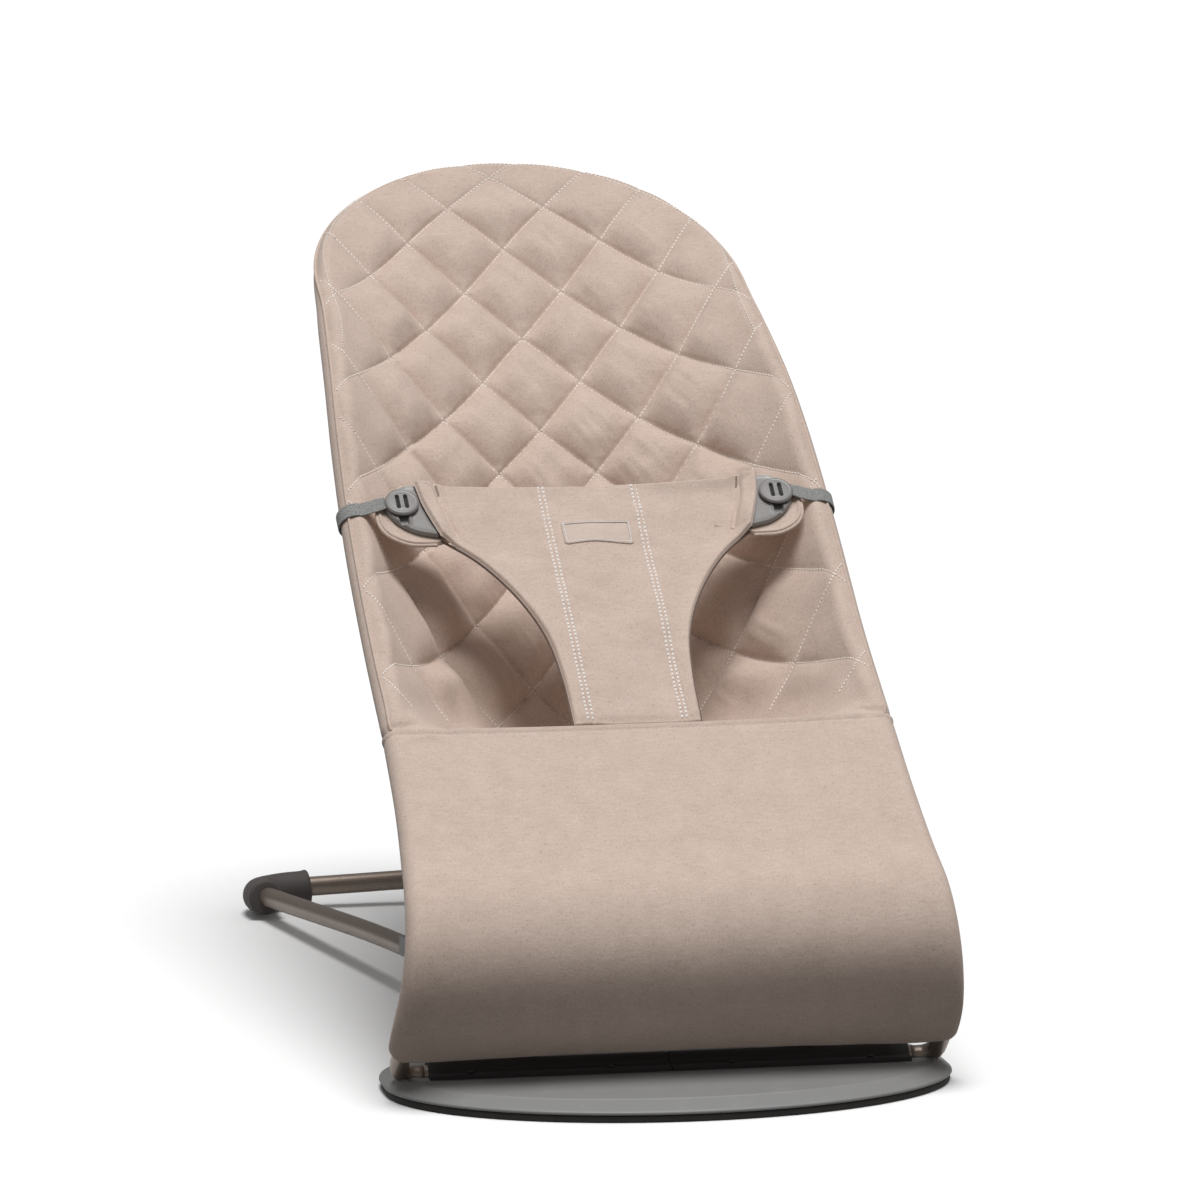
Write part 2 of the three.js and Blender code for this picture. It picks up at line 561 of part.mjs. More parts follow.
function buildStrap(side) {
  const line = [...STRAP.start];
  for (const degrees of [112, 85, 58, 31, 4, -15]) {
    const a = THREE.MathUtils.degToRad(degrees);
    line.push([STRAP_TUBE[0] + STRAP.wrapR * Math.cos(a), STRAP_TUBE[1] + STRAP.wrapR * Math.sin(a)]);
  }
  const rings = line.map(([x, n], k) => {
    const [px, pn] = line[Math.max(k - 1, 0)];
    const [qx, qn] = line[Math.min(k + 1, line.length - 1)];
    const size = Math.hypot(qx - px, qn - pn);
    const [ox, on] = [((pn - qn) / size) * (STRAP.thick / 2), ((qx - px) / size) * (STRAP.thick / 2)];
    return [v3(x - ox, STRAP.s0, n - on), v3(x + ox, STRAP.s0, n + on),
      v3(x + ox, STRAP.s1, n + on), v3(x - ox, STRAP.s1, n - on)];
  });
  return side > 0 ? loft(rings.map((points) => points.reverse())) : loft(rings.map(mirrored));
}

buildBase();
buildLowerFrame();
buildStay();
buildSeatFrame();
buildSling();
buildFlap();

export default group;
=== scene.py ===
"""Bouncer seat: cloth, metal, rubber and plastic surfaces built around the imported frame."""

import math

import bmesh
import bpy
import numpy as np
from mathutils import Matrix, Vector


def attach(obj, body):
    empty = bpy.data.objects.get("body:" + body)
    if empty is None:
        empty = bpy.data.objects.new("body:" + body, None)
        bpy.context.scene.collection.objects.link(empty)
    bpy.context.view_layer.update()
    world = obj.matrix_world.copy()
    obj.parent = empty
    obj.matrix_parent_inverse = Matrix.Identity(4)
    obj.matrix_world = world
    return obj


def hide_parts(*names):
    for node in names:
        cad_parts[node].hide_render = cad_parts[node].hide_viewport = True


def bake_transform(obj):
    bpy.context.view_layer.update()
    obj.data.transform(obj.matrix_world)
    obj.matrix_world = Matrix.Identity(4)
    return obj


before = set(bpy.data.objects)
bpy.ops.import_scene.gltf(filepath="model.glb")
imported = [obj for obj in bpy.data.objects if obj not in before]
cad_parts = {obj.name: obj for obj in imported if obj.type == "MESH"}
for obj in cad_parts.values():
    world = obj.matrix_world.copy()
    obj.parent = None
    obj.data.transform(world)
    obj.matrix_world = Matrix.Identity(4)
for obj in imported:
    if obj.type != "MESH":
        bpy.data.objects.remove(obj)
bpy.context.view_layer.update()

MM = 0.001
SIDES = (("left", 1), ("right", -1))

# ---- the frame's own lines, in millimetres: [half width, y, z] of the tube's centre ----
LOWER_LINE = [
    (186, -291, 31), (186, -312, 54), (183, -327, 83), (180, -327, 110),
    (177, -311, 136), (173.5, -280, 156), (169.5, -232, 188), (167, -172, 226),
]
UPPER_LINE = [
    (167, -172, 226), (165.5, -92, 272), (164, -8, 331), (160, 65, 386),
    (155.5, 114, 420), (146, 207, 468),
]
FOOT_LINE = [(168.5, -274, 14), (178, -274, 14.4), (184.3, -277.5, 18), (186, -284, 24.8)]
HEAD_LENGTH = 170
HEAD_POWER = 2.15
HEAD_SLOPE = math.atan(0.42)
HEAD_HALF = UPPER_LINE[-1][0]
HINGE_HALF, HINGE_Y, HINGE_Z = 168, -274, 14

TUBE_R = 6.5
RAIL_R = 7
CLOTH_R = 10  # outside of the cloth where it rolls over the frame tube
TUCK_R = 8.2  # the same, where the seat cloth is tucked under the front panel
HEAD_TIGHTER = 2.2  # the same cloth is drawn this much closer to the head tube
SPLIT_GAP = 1.4  # between the upper and the lower tubes, inside the collars

SAG_DEPTH = 136  # the hanging cloth, below the plane of the tubes
SAG_RUN = 42  # it falls away from the panel over this length
SAG_FADE = 0.95  # and comes back towards the head by this power
SAG_ACROSS = 2.2


# ---- curves
def spline(points, per=40):
    """Centripetal Catmull-Rom line through the points."""
    p = np.asarray(points, float)
    p = np.vstack([2 * p[0] - p[1], p, 2 * p[-1] - p[-2]])
    out = []
    for i in range(1, len(p) - 2):
        d0, d1, d2 = (max(np.linalg.norm(p[k + 1] - p[k]) ** 0.5, 1e-4) for k in (i - 1, i, i + 1))
        t1 = (p[i] - p[i - 1]) / d0 - (p[i + 1] - p[i - 1]) / (d0 + d1) + (p[i + 1] - p[i]) / d1
        t2 = (p[i + 1] - p[i]) / d1 - (p[i + 2] - p[i]) / (d1 + d2) + (p[i + 2] - p[i + 1]) / d2
        t1, t2 = t1 * d1, t2 * d1
        c2 = 3 * (p[i + 1] - p[i]) - 2 * t1 - t2
        c3 = 2 * (p[i] - p[i + 1]) + t1 + t2
        t = np.linspace(0, 1, per, endpoint=False)[:, None]
        out.append(p[i] + t1 * t + c2 * t**2 + c3 * t**3)
    out.append(p[-2][None])
    return np.vstack(out)


def lengths(line):
    """Distance along the line to each of its points."""
    return np.r_[0, np.cumsum(np.linalg.norm(np.diff(line, axis=0), axis=1))]


def between(at, places, rows):
    """Values, or the rows of a table, read off at fractional places."""
    rows = np.asarray(rows, float)
    if rows.ndim == 1:
        return np.interp(places, at, rows)
    return np.stack([np.interp(places, at, column) for column in rows.T], 1)


def resample(line, step):
    """The line again, with points about step apart."""
    at = lengths(np.asarray(line, float))
    return between(at, np.linspace(0, at[-1], max(int(round(at[-1] / step)), 2) + 1), line)


def unit(v):
    return v / np.maximum(np.linalg.norm(v, axis=-1, keepdims=True), 1e-12)


def circle(count):
    """Angles evenly round a circle."""
    return np.linspace(0, 2 * math.pi, count, endpoint=False)


def bell(distance, width):
    """Bump of height 1 that fades over width."""
    return np.exp(-((distance / width) ** 2))


def smooth(values, sigma):
    """Gaussian smoothing along the first axis, ends held."""
    reach = int(sigma * 3) + 1
    kernel = np.exp(-0.5 * (np.arange(-reach, reach + 1) / sigma) ** 2)
    kernel /= kernel.sum()
    values = np.asarray(values, float)
    flat = values.reshape(len(values), -1)
    before = 2 * flat[0] - flat[reach:0:-1]
    after = 2 * flat[-1] - flat[-2 : -reach - 2 : -1]
    padded = np.vstack([before, flat, after])
    out = np.stack([np.convolve(padded[:, k], kernel, "valid") for k in range(flat.shape[1])], 1)
    return out.reshape(values.shape)


def noise(x, y, size, seed, shift=900):
    """Smooth value noise from -1 to 1 with features of that size."""
    cells = np.random.default_rng(seed).uniform(-1, 1, (64, 64))
    gx, gy = (x + shift) / size, (y + shift) / size
    ix, iy = np.floor(gx).astype(int), np.floor(gy).astype(int)
    fx, fy = gx - ix, gy - iy
    fx, fy = fx * fx * (3 - 2 * fx), fy * fy * (3 - 2 * fy)
    low, high = (
        cells[ix % 64, (iy + k) % 64] * (1 - fx) + cells[(ix + 1) % 64, (iy + k) % 64] * fx for k in (0, 1)
    )
    return low * (1 - fy) + high * fy


def ease(t):
    """Smooth step from 0 to 1."""
    t = np.clip(t, 0, 1)
    return t * t * (3 - 2 * t)


# ---- carrier: straight rows across the frame
UPPER = spline(UPPER_LINE)
LOWER_CURVE = spline(LOWER_LINE)
LOWER_LENGTH = lengths(LOWER_CURVE)[-1]
SIDE_LENGTH = lengths(UPPER)[-1]
SEAT_LENGTH = SIDE_LENGTH + HEAD_LENGTH


def on_head(x, d):
    """Points x across and d up the plane of the head arch."""
    _, y, z = UPPER_LINE[-1]
    return np.stack([x, y + d * math.cos(HEAD_SLOPE), z + d * math.sin(HEAD_SLOPE)], 1)


def head_arch(a):
    """Distances across and up the head arch at an angle."""
    return HEAD_HALF * np.cos(a) ** (2 / HEAD_POWER), HEAD_LENGTH * np.sin(a) ** (2 / HEAD_POWER)


def head_rows():
    """Rows across the head: their place up the seat, and half width, y and z."""
    d = np.linspace(0, HEAD_LENGTH, 120)[1:]
    w = HEAD_HALF * (1 - (d / HEAD_LENGTH) ** HEAD_POWER) ** (1 / HEAD_POWER)
    return SIDE_LENGTH + d, on_head(w, d)


def carrier_table():
    """Half width, y and z of the tube's centre against s, the distance up the seat from the split."""
    head_s, head = head_rows()
    s = np.r_[lengths(LOWER_CURVE) - LOWER_LENGTH, lengths(UPPER)[1:], head_s]
    rows = np.vstack([LOWER_CURVE, UPPER[1:], head])
    even = np.arange(math.ceil(s[0]), s[-1], 1.0)
    table = between(s, even, rows)
    table[:, 1:] = smooth(table[:, 1:], 7)
    return even, table


ROW_S, ROWS = carrier_table()


def carrier(s):
    """Half width, y, z and the normal's y and z of the row at s."""
    w, y, z = (np.interp(s, ROW_S, column) for column in ROWS.T)
    dy, dz = (np.interp(s + 2, ROW_S, column) - np.interp(s - 2, ROW_S, column) for column in ROWS.T[1:])
    size = np.hypot(dy, dz)
    return w, y, z, -dz / size, dy / size


def on_rows(x, s, n):
    """Point x across, s up the seat and n off the plane of the tubes."""
    _, y, z, ny, nz = carrier(s)
    return np.stack([x + 0 * y, y + ny * n, z + nz * n], -1)


# ---- mesh helpers
def make(name, points, faces, material, smooth_shade=True):
    """Mesh object from points in millimetres."""
    mesh = bpy.data.meshes.new(name)
    mesh.from_pydata((np.asarray(points) * MM).tolist(), [], [list(map(int, f)) for f in faces])
    mesh.validate()
    mesh.update()
    mesh.polygons.foreach_set("use_smooth", [smooth_shade] * len(mesh.polygons))
    obj = bpy.data.objects.new(name, mesh)
    bpy.context.scene.collection.objects.link(obj)
    obj.data.materials.append(material)
    return obj


def grid_faces(rows, columns, closed=False):
    """Quads over points laid out row by row; closed joins each row's ends."""
    i, j = np.meshgrid(np.arange(rows - 1), np.arange(columns if closed else columns - 1), indexing="ij")
    j2 = (j + 1) % columns
    quads = np.stack([i * columns + j, i * columns + j2, (i + 1) * columns + j2, (i + 1) * columns + j], -1)
    return quads.reshape(-1, 4)


def frames_along(line):
    """Tangent, side and up vectors that turn as little as they can along the line."""
    tangent = unit(np.gradient(line, axis=0))
    normal = np.zeros_like(line)
    normal[0] = (1, 0, 0) if abs(tangent[0][2]) > 0.95 else (0, 0, 1)
    for i in range(len(line)):
        n = normal[max(i - 1, 0)]
        n = n - tangent[i] * (n @ tangent[i])
        normal[i] = n / np.linalg.norm(n)
    return tangent, np.cross(tangent, normal), normal


END_DOME = ((0.9, 0.35), (0.7, 0.6), (0, 0.7))  # share of the radius, distance past the end


def sweep(name, line, radius, material, sides=28, floor=None):
    """Round tube with domed ends along a line; radius is a number or one for each point."""
    radius = np.broadcast_to(radius, (len(line),))
    tangent, side, up = frames_along(line)
    a = circle(sides)[:, None]
    ring = np.cos(a) * side[:, None] + np.sin(a) * up[:, None]
    points = (line[:, None] + ring * radius[:, None, None]).reshape(-1, 3)
    faces = grid_faces(len(line), sides, True).tolist()
    for end, outward in ((0, -tangent[0]), (len(line) - 1, tangent[-1])):
        last = np.arange(sides) + end * sides
        for share, push in END_DOME:
            rim = line[end] + ring[end] * radius[end] * share + outward * push
            rim = rim if share else rim[:1]
            now = len(points) + np.arange(len(rim))
            points = np.vstack([points, rim])
            for k in range(sides):
                k2 = (k + 1) % sides
                face = [last[k], last[k2], now[k2 % len(now)], now[k % len(now)]]
                face = face if share else face[:3]
                faces.append(face if end else face[::-1])
            last = now
    if floor is not None:
        points[:, 2] = np.maximum(points[:, 2], floor)
    return make(name, points, faces, material)


def loft(name, rings, material):
    """Closed skin over a list of closed rings."""
    count = len(rings[0])
    points = np.vstack([*rings, rings[0].mean(0), rings[-1].mean(0)])
    faces = grid_faces(len(rings), count, True).tolist()
    top = (len(rings) - 1) * count
    for i in range(count):
        i2 = (i + 1) % count
        faces.append([i2, i, len(points) - 2])
        faces.append([len(points) - 1, top + i, top + i2])
    return make(name, points, faces, material)


def dashes(name, seams, material, size):
    """Short raised threads along seams; size is their length, width and height."""
    centres, tangents, normals = (np.vstack(part) for part in zip(*seams))
    axes = np.stack([tangents, np.cross(tangents, normals), normals], 1)
    shape = [(-0.5, 0, 0)]
    for t in (-0.33, 0.33):
        shape += [(t, 0.5, 0), (t, 0, 1), (t, -0.5, 0), (t, 0, -1)]
    shape.append((0.5, 0, 0))
    points = centres[:, None] + np.array(shape) * size @ axes
    single = []
    for k in range(4):
        k2 = (k + 1) % 4
        single += [(0, k2 + 1, k + 1), (k + 1, k2 + 1, k2 + 5, k + 5), (9, k + 5, k2 + 5)]
    faces = [tuple(i + k * 10 for i in face) for k in range(len(centres)) for face in single]
    return make(name, points.reshape(-1, 3), faces, material, smooth_shade=False)


def stitch_line(line, normals, pitch):
    """Centres, tangents and normals of the stitches of one seam."""
    at = lengths(line)
    wanted = np.arange(pitch / 2, at[-1], pitch)
    ahead = between(at, wanted + 0.5, line) - between(at, wanted - 0.5, line)
    return between(at, wanted, line), unit(ahead), unit(between(at, wanted, normals))


# ---- seat cloth
QUILT_HALF = 35  # half the width of one quilted diamond
QUILT_STEP = 44.5  # half its length
QUILT_X = -4  # the quilting isn't cut dead centre
QUILT_TOP = 545  # above this the rows draw closer together
QUILT_CLOSER = 0.005
PUFF = 10.5
PUFF_RUN = 21  # from a stitch line to the full height
PUFF_EDGE = 0.28  # share of the puff left at the tube
PUFF_IN = 48  # distance inside the edge where the puff is whole
HEAD_FLAT = 0.7  # share taken off it over the head
HEAD_FLAT_FROM, HEAD_FLAT_OVER = 540, 110
GROOVE, GROOVE_WIDTH = 1.3, 1.3
PLAIN_UP, PLAIN_LESS, PLAIN_HALF = 100, 62, 150  # plain cloth in front: in the middle, less at the sides
PLAIN_BLEND = 46
FACE_THICK, FACE_FADE = 2.4, 46  # wadding over the cloth's middle, thicker near the tube
SEAM_ANGLE = 58  # where the quilted face meets the back cloth, round the outside of the tube
HEAD_SEAM_ANGLE = 14  # over the head the seam lies further back
QUILT_START = -7
BACK_DROP = 1.8  # the back cloth below the cloth's middle
BACK_FADE = 17
FRONT_LIP = 5  # the front end of the quilting rises this far, close under the panel
WIDEST = 165  # normals are read off no further out than this
STITCH_PITCH = 3.1


def head_edge():
    """The edge of the seat as (x, s), from the left split over the head to the right split."""
    s = np.linspace(QUILT_START, SIDE_LENGTH, 260)
    x, d = head_arch(np.linspace(0, math.pi / 2, 160)[1:])
    half = np.vstack([np.stack([carrier(s)[0], s], 1), np.stack([x, SIDE_LENGTH + d], 1)])
    whole = np.vstack([half, (half * (-1, 1))[::-1][1:]])
    return smooth(resample(whole, 2.0), 6)


EDGE = head_edge()
EDGE_OUT = unit(np.gradient(EDGE, axis=0)[:, ::-1] * (1, -1))
EDGE_INDEX = np.arange(len(EDGE))


def on_edge(at, values):
    """Values kept along the edge, read off at fractional places."""
    return between(EDGE_INDEX, at, values)


def sag(s):
    """Depth of the hanging cloth down the middle."""
    s = np.clip(s, 0, SEAT_LENGTH - 0.01)
    return SAG_DEPTH * (1 - np.exp(-s / SAG_RUN)) * (1 - s / SEAT_LENGTH) ** SAG_FADE


def core(x, s):
    """Middle of the hanging cloth; it meets the tubes' centres at its edges."""
    s = np.minimum(s, SEAT_LENGTH - 0.4)
    w = np.maximum(carrier(s)[0], 2)
    u = np.clip(np.abs(x) / w, 0, 1)
    return on_rows(x, s, -sag(s) * (1 - u**SAG_ACROSS))


def core_normal(x, s):
    """Upward normal of the hanging cloth."""
    x = np.clip(x, -WIDEST, WIDEST)
    d = 1.5
    across = core(x + d, s) - core(x - d, s)
    along = core(x, s + d) - core(x, s - d)
    return unit(np.cross(across, along))


def nearest_edge(x, s):
    """Index of the closest edge point and the distance inside the edge, negative outside."""
    points = np.stack([x.ravel(), s.ravel()], 1)
    best = np.empty(len(points), int)
    for k in range(0, len(points), 4000):
        gap = points[k : k + 4000, None] - EDGE
        best[k : k + 4000] = (gap**2).sum(-1).argmin(1)
    inside = -((points - EDGE[best]) * EDGE_OUT[best]).sum(1)
    return best.reshape(x.shape), inside.reshape(x.shape)


def edge_frames():
    """3-D centre, sheet normal, outward direction and seam angle along the edge."""
    centre = on_rows(*EDGE.T, 0)
    tangent = unit(np.gradient(centre, axis=0))
    normal = core_normal(*(EDGE - EDGE_OUT * 2.5).T)
    normal = unit(smooth(normal - tangent * (normal * tangent).sum(1, keepdims=True), 5))
    out = np.cross(tangent, normal)
    ahead = centre - on_rows(*(EDGE - EDGE_OUT).T, 0)
    out *= np.sign((out * ahead).sum(1))[:, None]
    _, _, _, ny, nz = carrier(EDGE[:, 1])
    flat_up = np.stack([0 * ny, ny, nz], 1)
    over_head = ease((EDGE[:, 1] - SIDE_LENGTH + 30) / 110)
    seam = np.radians(SEAM_ANGLE + (HEAD_SEAM_ANGLE - SEAM_ANGLE) * over_head)[:, None]
    to_seam = unit(unit(ahead) * np.cos(seam) + flat_up * np.sin(seam))
    angle = np.arctan2((to_seam * out).sum(1), (to_seam * normal).sum(1))
    return centre, normal, out, smooth(angle, 8)


EDGE_AT, EDGE_NORMAL, EDGE_SIDE, SEAM_TURN = edge_frames()


def rolled_radius(s):
    """The cloth is drawn in to the tube where it tucks under the front panel and over the head."""
    tucked = TUCK_R + (CLOTH_R - TUCK_R) * ease((s - 1) / 5)
    return tucked - HEAD_TIGHTER * ease((s - SIDE_LENGTH + 40) / 90)


def quilt_count(s):
    """Number of half diamonds down from the head."""
    over = np.maximum(s - QUILT_TOP, 0)
    return 2 - (s - QUILT_TOP) / QUILT_STEP * (1 + QUILT_CLOSER * over)


def quilt_gaps(x, s):
    """Distances to the nearest stitch line of each slant."""
    rows = quilt_count(s)
    slope = (quilt_count(s + 0.5) - quilt_count(s - 0.5)) ** 2 + QUILT_HALF**-2
    out = []
    for sign in (1, -1):
        a = sign * (x - QUILT_X) / QUILT_HALF + rows
        out.append(np.abs(a - 2 * np.round(a / 2)) / np.sqrt(slope))
    return out


def plain_below(x):
    """The quilting starts this far up the seat."""
    return PLAIN_UP - PLAIN_LESS * (np.abs(x) / PLAIN_HALF) ** 3


def puffed(x, s, inside):
    """Height of the wadding between the stitch lines."""
    first, second = quilt_gaps(x, s)
    soft = 1.0
    for gap in (first, second):
        soft = soft * (1 - (1 - np.clip(gap / PUFF_RUN, 0, 1)) ** 2)
    near_edge = ease((inside - 2) / PUFF_IN)
    quilted = ease((s - plain_below(x)) / PLAIN_BLEND)
    crumple = noise(x, s, 13, 3) * 0.45 + noise(x * 2 + s, s * 0.35, 9, 5) * 0.5
    pulled = noise(x, s * 0.4, 7, 9, 500) * 0.3
    pucker = noise(x, s, 5, 13, 300) * 0.55 * (np.exp(-first / 6) + np.exp(-second / 6))
    height = PUFF * soft * (PUFF_EDGE + (1 - PUFF_EDGE) * near_edge)
    height = height * (1 - HEAD_FLAT * ease((s - HEAD_FLAT_FROM) / HEAD_FLAT_OVER))
    groove = GROOVE * (bell(first, GROOVE_WIDTH) + bell(second, GROOVE_WIDTH))
    folds = (crumple + pulled) * soft + pucker * ease(np.minimum(first, second) / 3)
    puffs = height + folds * near_edge - groove * (0.2 + 0.8 * near_edge)
    plain = 1.0 + noise(x, s, 34, 11, 700) * 1.1
    seam_in = ease((inside + 13) / 9)
    return (puffs * quilted + plain * (1 - quilted)) * seam_in * ease((s - 2) / 10)


def sheet_normal(x, s, nearest, inside):
    """Normal of the hanging cloth, turned to the edge's own normal close to the edge."""
    near = ease((8 - inside) / 8)[..., None]
    return unit(core_normal(x, s) * (1 - near) + EDGE_NORMAL[nearest] * near)


def quilted_face(x, s, lift=0.0):
    """Points and normals of the seat's upper face; it runs on round the tube outside the edge."""
    nearest, inside = nearest_edge(x, s)
    height = puffed(x, s, inside) + lift
    radius = rolled_radius(s)
    normal = sheet_normal(x, s, nearest, inside)
    thick = FACE_THICK + (radius - FACE_THICK) * bell(np.maximum(inside, 0), FACE_FADE)
    thick += ease((1.5 - s) / 3) * np.maximum(FRONT_LIP - thick, 0)
    inner = core(x, s) + normal * (thick + height)[..., None]
    turn = np.minimum(np.maximum(-inside, 0) / CLOTH_R, SEAM_TURN[nearest] + 0.1)[..., None]
    ray = np.cos(turn) * EDGE_NORMAL[nearest] + np.sin(turn) * EDGE_SIDE[nearest]
    outer = EDGE_AT[nearest] + ray * (radius + height)[..., None]
    outside = (inside < 0)[..., None]
    return np.where(outside, outer, inner), np.where(outside, ray, normal)


def seat_grid(columns, rows):
    """(x, s) of a grid over the seat that follows the edge, and the places of its border along the edge."""
    top = np.nonzero((np.abs(EDGE_OUT[:, 0]) < math.sqrt(0.5)) & (EDGE[:, 1] > SIDE_LENGTH))[0]
    left_at, over_at, right_at = (
        np.linspace(a, b, count)
        for a, b, count in ((0, top[0], rows), (top[-1], top[0], columns), (EDGE_INDEX[-1], top[-1], rows))
    )
    left, over, right = (on_edge(at, EDGE) for at in (left_at, over_at, right_at))
    u = np.linspace(0, 1, columns)[:, None]
    v = np.linspace(0, 1, rows)[:, None, None]
    across = right[:, None] * (1 - u) + left[:, None] * u
    return across + (over - across[-1]) * v, np.r_[right_at, over_at[1:-1], left_at[::-1]]


def on_rim(at, turn, lift=0.0):
    """Point round the tube at a fractional place along the edge."""
    turn = np.reshape(turn, (-1, 1))
    ray = np.cos(turn) * unit(on_edge(at, EDGE_NORMAL)) + np.sin(turn) * unit(on_edge(at, EDGE_SIDE))
    radius = rolled_radius(on_edge(at, EDGE[:, 1])) + lift
    return on_edge(at, EDGE_AT) + ray * radius[:, None]


def rimmed(name, points, at, rings, flip, material):
    """Mesh of a seat grid with rings of points added outside its border."""
    rows, columns = points.shape[:2]
    index = np.arange(rows * columns).reshape(rows, columns)
    last = np.r_[index[:, 0], index[-1, 1:-1], index[::-1, -1]]
    quads = [grid_faces(rows, columns)]
    for k in range(len(rings)):
        now = index.size + k * len(at) + np.arange(len(at))
        quads.append(np.stack([last[:-1], last[1:], now[1:], now[:-1]], 1))
        last = now
    points = np.vstack([points.reshape(-1, 3), *rings])
    faces = np.vstack(quads)
    return make(name, points, faces[:, ::-1] if flip else faces, material)


def build_quilt(material):
    """Quilted upper face, out to the seam round the tube."""
    grid, at = seat_grid(240, 470)
    points, _ = quilted_face(grid[..., 0], grid[..., 1])
    seam = on_edge(at, SEAM_TURN)
    rings = []
    for share in np.arange(1, 13) / 12:
        away = seam * CLOTH_R * share
        place = on_edge(at, EDGE) + on_edge(at, EDGE_OUT) * away[:, None]
        rings.append(on_rim(at, seam * share, puffed(*place.T, -away)))
    return rimmed("seat_quilt", points, at, rings, False, material)


def build_back(material):
    """Plain cloth behind the quilting, from the seam round the tube and across the back."""
    grid, at = seat_grid(90, 200)
    x, s = grid[..., 0], grid[..., 1]
    nearest, inside = nearest_edge(x, s)
    thick = BACK_DROP + (rolled_radius(s) - BACK_DROP) * bell(np.maximum(inside, 0), BACK_FADE)
    thick += noise(x, s * 0.6, 38, 21, 700) * 0.5 * ease(inside / 20)
    points = core(x, s) - sheet_normal(x, s, nearest, inside) * thick[..., None]
    seam = on_edge(at, SEAM_TURN)
    rings = [on_rim(at, math.pi + (seam - math.pi) * share) for share in np.arange(1, 11) / 10]
    return rimmed("seat_back_cloth", points, at, rings, True, material)


def build_piping(material):
    at = np.arange(4, len(EDGE) - 4, 1.0)
    line = on_rim(at, on_edge(at, SEAM_TURN), 0.1)
    return sweep("seat_edge_piping", line, 1.15, material, sides=10)


def runs(mask):
    """Start and end of each stretch where mask holds."""
    step = np.diff(np.r_[0, mask.astype(int), 0])
    return zip(np.nonzero(step == 1)[0], np.nonzero(step == -1)[0])


def build_quilt_stitches(material):
    """Light thread along every quilting line."""
    s = np.arange(QUILT_START + 8, SEAT_LENGTH + 14, 1.0)
    seams = []
    for sign in (1, -1):
        for line in range(-4, 14):
            x = sign * (2 * line - quilt_count(s)) * QUILT_HALF + QUILT_X
            nearest, inside = nearest_edge(x, s)
            keep = (inside > 1.5 - SEAM_TURN[nearest] * CLOTH_R) & (s > plain_below(x))
            keep &= np.abs(x) < 185
            for a, b in runs(keep):
                if b - a < 8:
                    continue
                seams.append(stitch_line(*quilted_face(x[a:b], s[a:b], 0.35), STITCH_PITCH))
    return dashes("quilt_stitches", seams, material, (2.3, 1.1, 0.34))


def build_head_stitches(material):
    """Topstitching that follows the seam over the head."""
    at = np.arange(0, len(EDGE) - 1, 0.5)
    at = at[on_edge(at, EDGE[:, 1]) > SIDE_LENGTH - 60]
    away = np.maximum(on_edge(at, SEAM_TURN) - 0.95, 0.05) * CLOTH_R
    place = on_edge(at, EDGE) + on_edge(at, EDGE_OUT) * away[:, None]
    seam = stitch_line(*quilted_face(*place.T, 0.25), STITCH_PITCH)
    return dashes("head_stitches", [seam], material, (2.2, 0.9, 0.34))


# ---- front panel
PANEL_HEM = -LOWER_LENGTH * (1 - 0.012)
PANEL_DIP = 2.9  # its middle lies this far below its sides
PANEL_STITCH = 5  # from its top edge to the topstitching
PANEL_HEM_ROWS = ((3.0, -2.6), (0.8, -2.2), (0, -1.2), (0.4, -0.4))  # (up, lift) of the rolled hem
PANEL_TOP_ROWS = ((0.2, -0.9), (0.5, -2.0), (4, -2.4))  # (down, lift) of the rolled top edge


def panel_face(x, w):
    """Height of the panel's front over the plane of the tubes."""
    return CLOTH_R - PANEL_DIP * (1 - np.abs(x / w) ** 2.5)


def panel_profile(w):
    """(x, n) across the panel: round one tunnel, over the front and round the other tunnel."""
    a = np.radians(np.linspace(-152, 90, 26))
    tunnel = np.stack([w + CLOTH_R * np.cos(a), CLOTH_R * np.sin(a)], 1)
    side = np.vstack([(w - 17, 7.0), (w - 13, 2.5), tunnel])
    x = np.linspace(1, -1, 121)[1:-1] * w
    return np.vstack([side, np.stack([x, panel_face(x, w)], 1), side[::-1] * (-1, 1)]).T


def panel_relief(x, s, front):
    """Soft waves of the plain cloth, its seam roll and the groove of its topstitching."""
    below = -SPLIT_GAP - s
    waves = noise(x * 0.5, s, 60, 31) * 0.9 + noise(x, s * 0.7, 24, 33) * 0.28
    corner = ease((np.abs(x) - 95) / 60) * ease((34 - below) / 30) * noise(x + s, s - x, 10, 35)
    roll = 0.8 * bell(below, 3.2)
    groove = -0.55 * bell(below - PANEL_STITCH, 1.1)
    return (waves * ease(below / 20) + corner * 0.9) * front + roll + groove


def build_front_panel(material):
    places = [(PANEL_HEM + up, lift) for up, lift in PANEL_HEM_ROWS]
    for start, end, count in ((PANEL_HEM + 1.6, -12, 150), (-11, -SPLIT_GAP - 0.8, 22)):
        places += [(s, 0) for s in np.linspace(start, end, count)]
    places += [(-SPLIT_GAP - down, lift) for down, lift in PANEL_TOP_ROWS]
    rows = []
    for s, down in places:
        w = float(carrier(s)[0])
        x, n = panel_profile(w)
        front = ease((w - np.abs(x)) / 12) * (n > 0)
        outward = ease((np.abs(x) - w) / CLOTH_R)
        lift = panel_relief(x, s, front) + down
        x = x + np.sign(x) * lift * outward
        n = n + lift * (1 - outward) * np.where(n < 0, -1, 1)
        corner = 5 * (np.abs(x) / (w + CLOTH_R)) ** 14 * np.clip(1 - (s - PANEL_HEM) / 12, 0, 1)
        rows.append(on_rows(x, s + corner, n))
    faces = grid_faces(len(rows), len(rows[0]))[:, ::-1]
    return thicken(make("front_panel_cloth", np.vstack(rows), faces, material), 1.1)


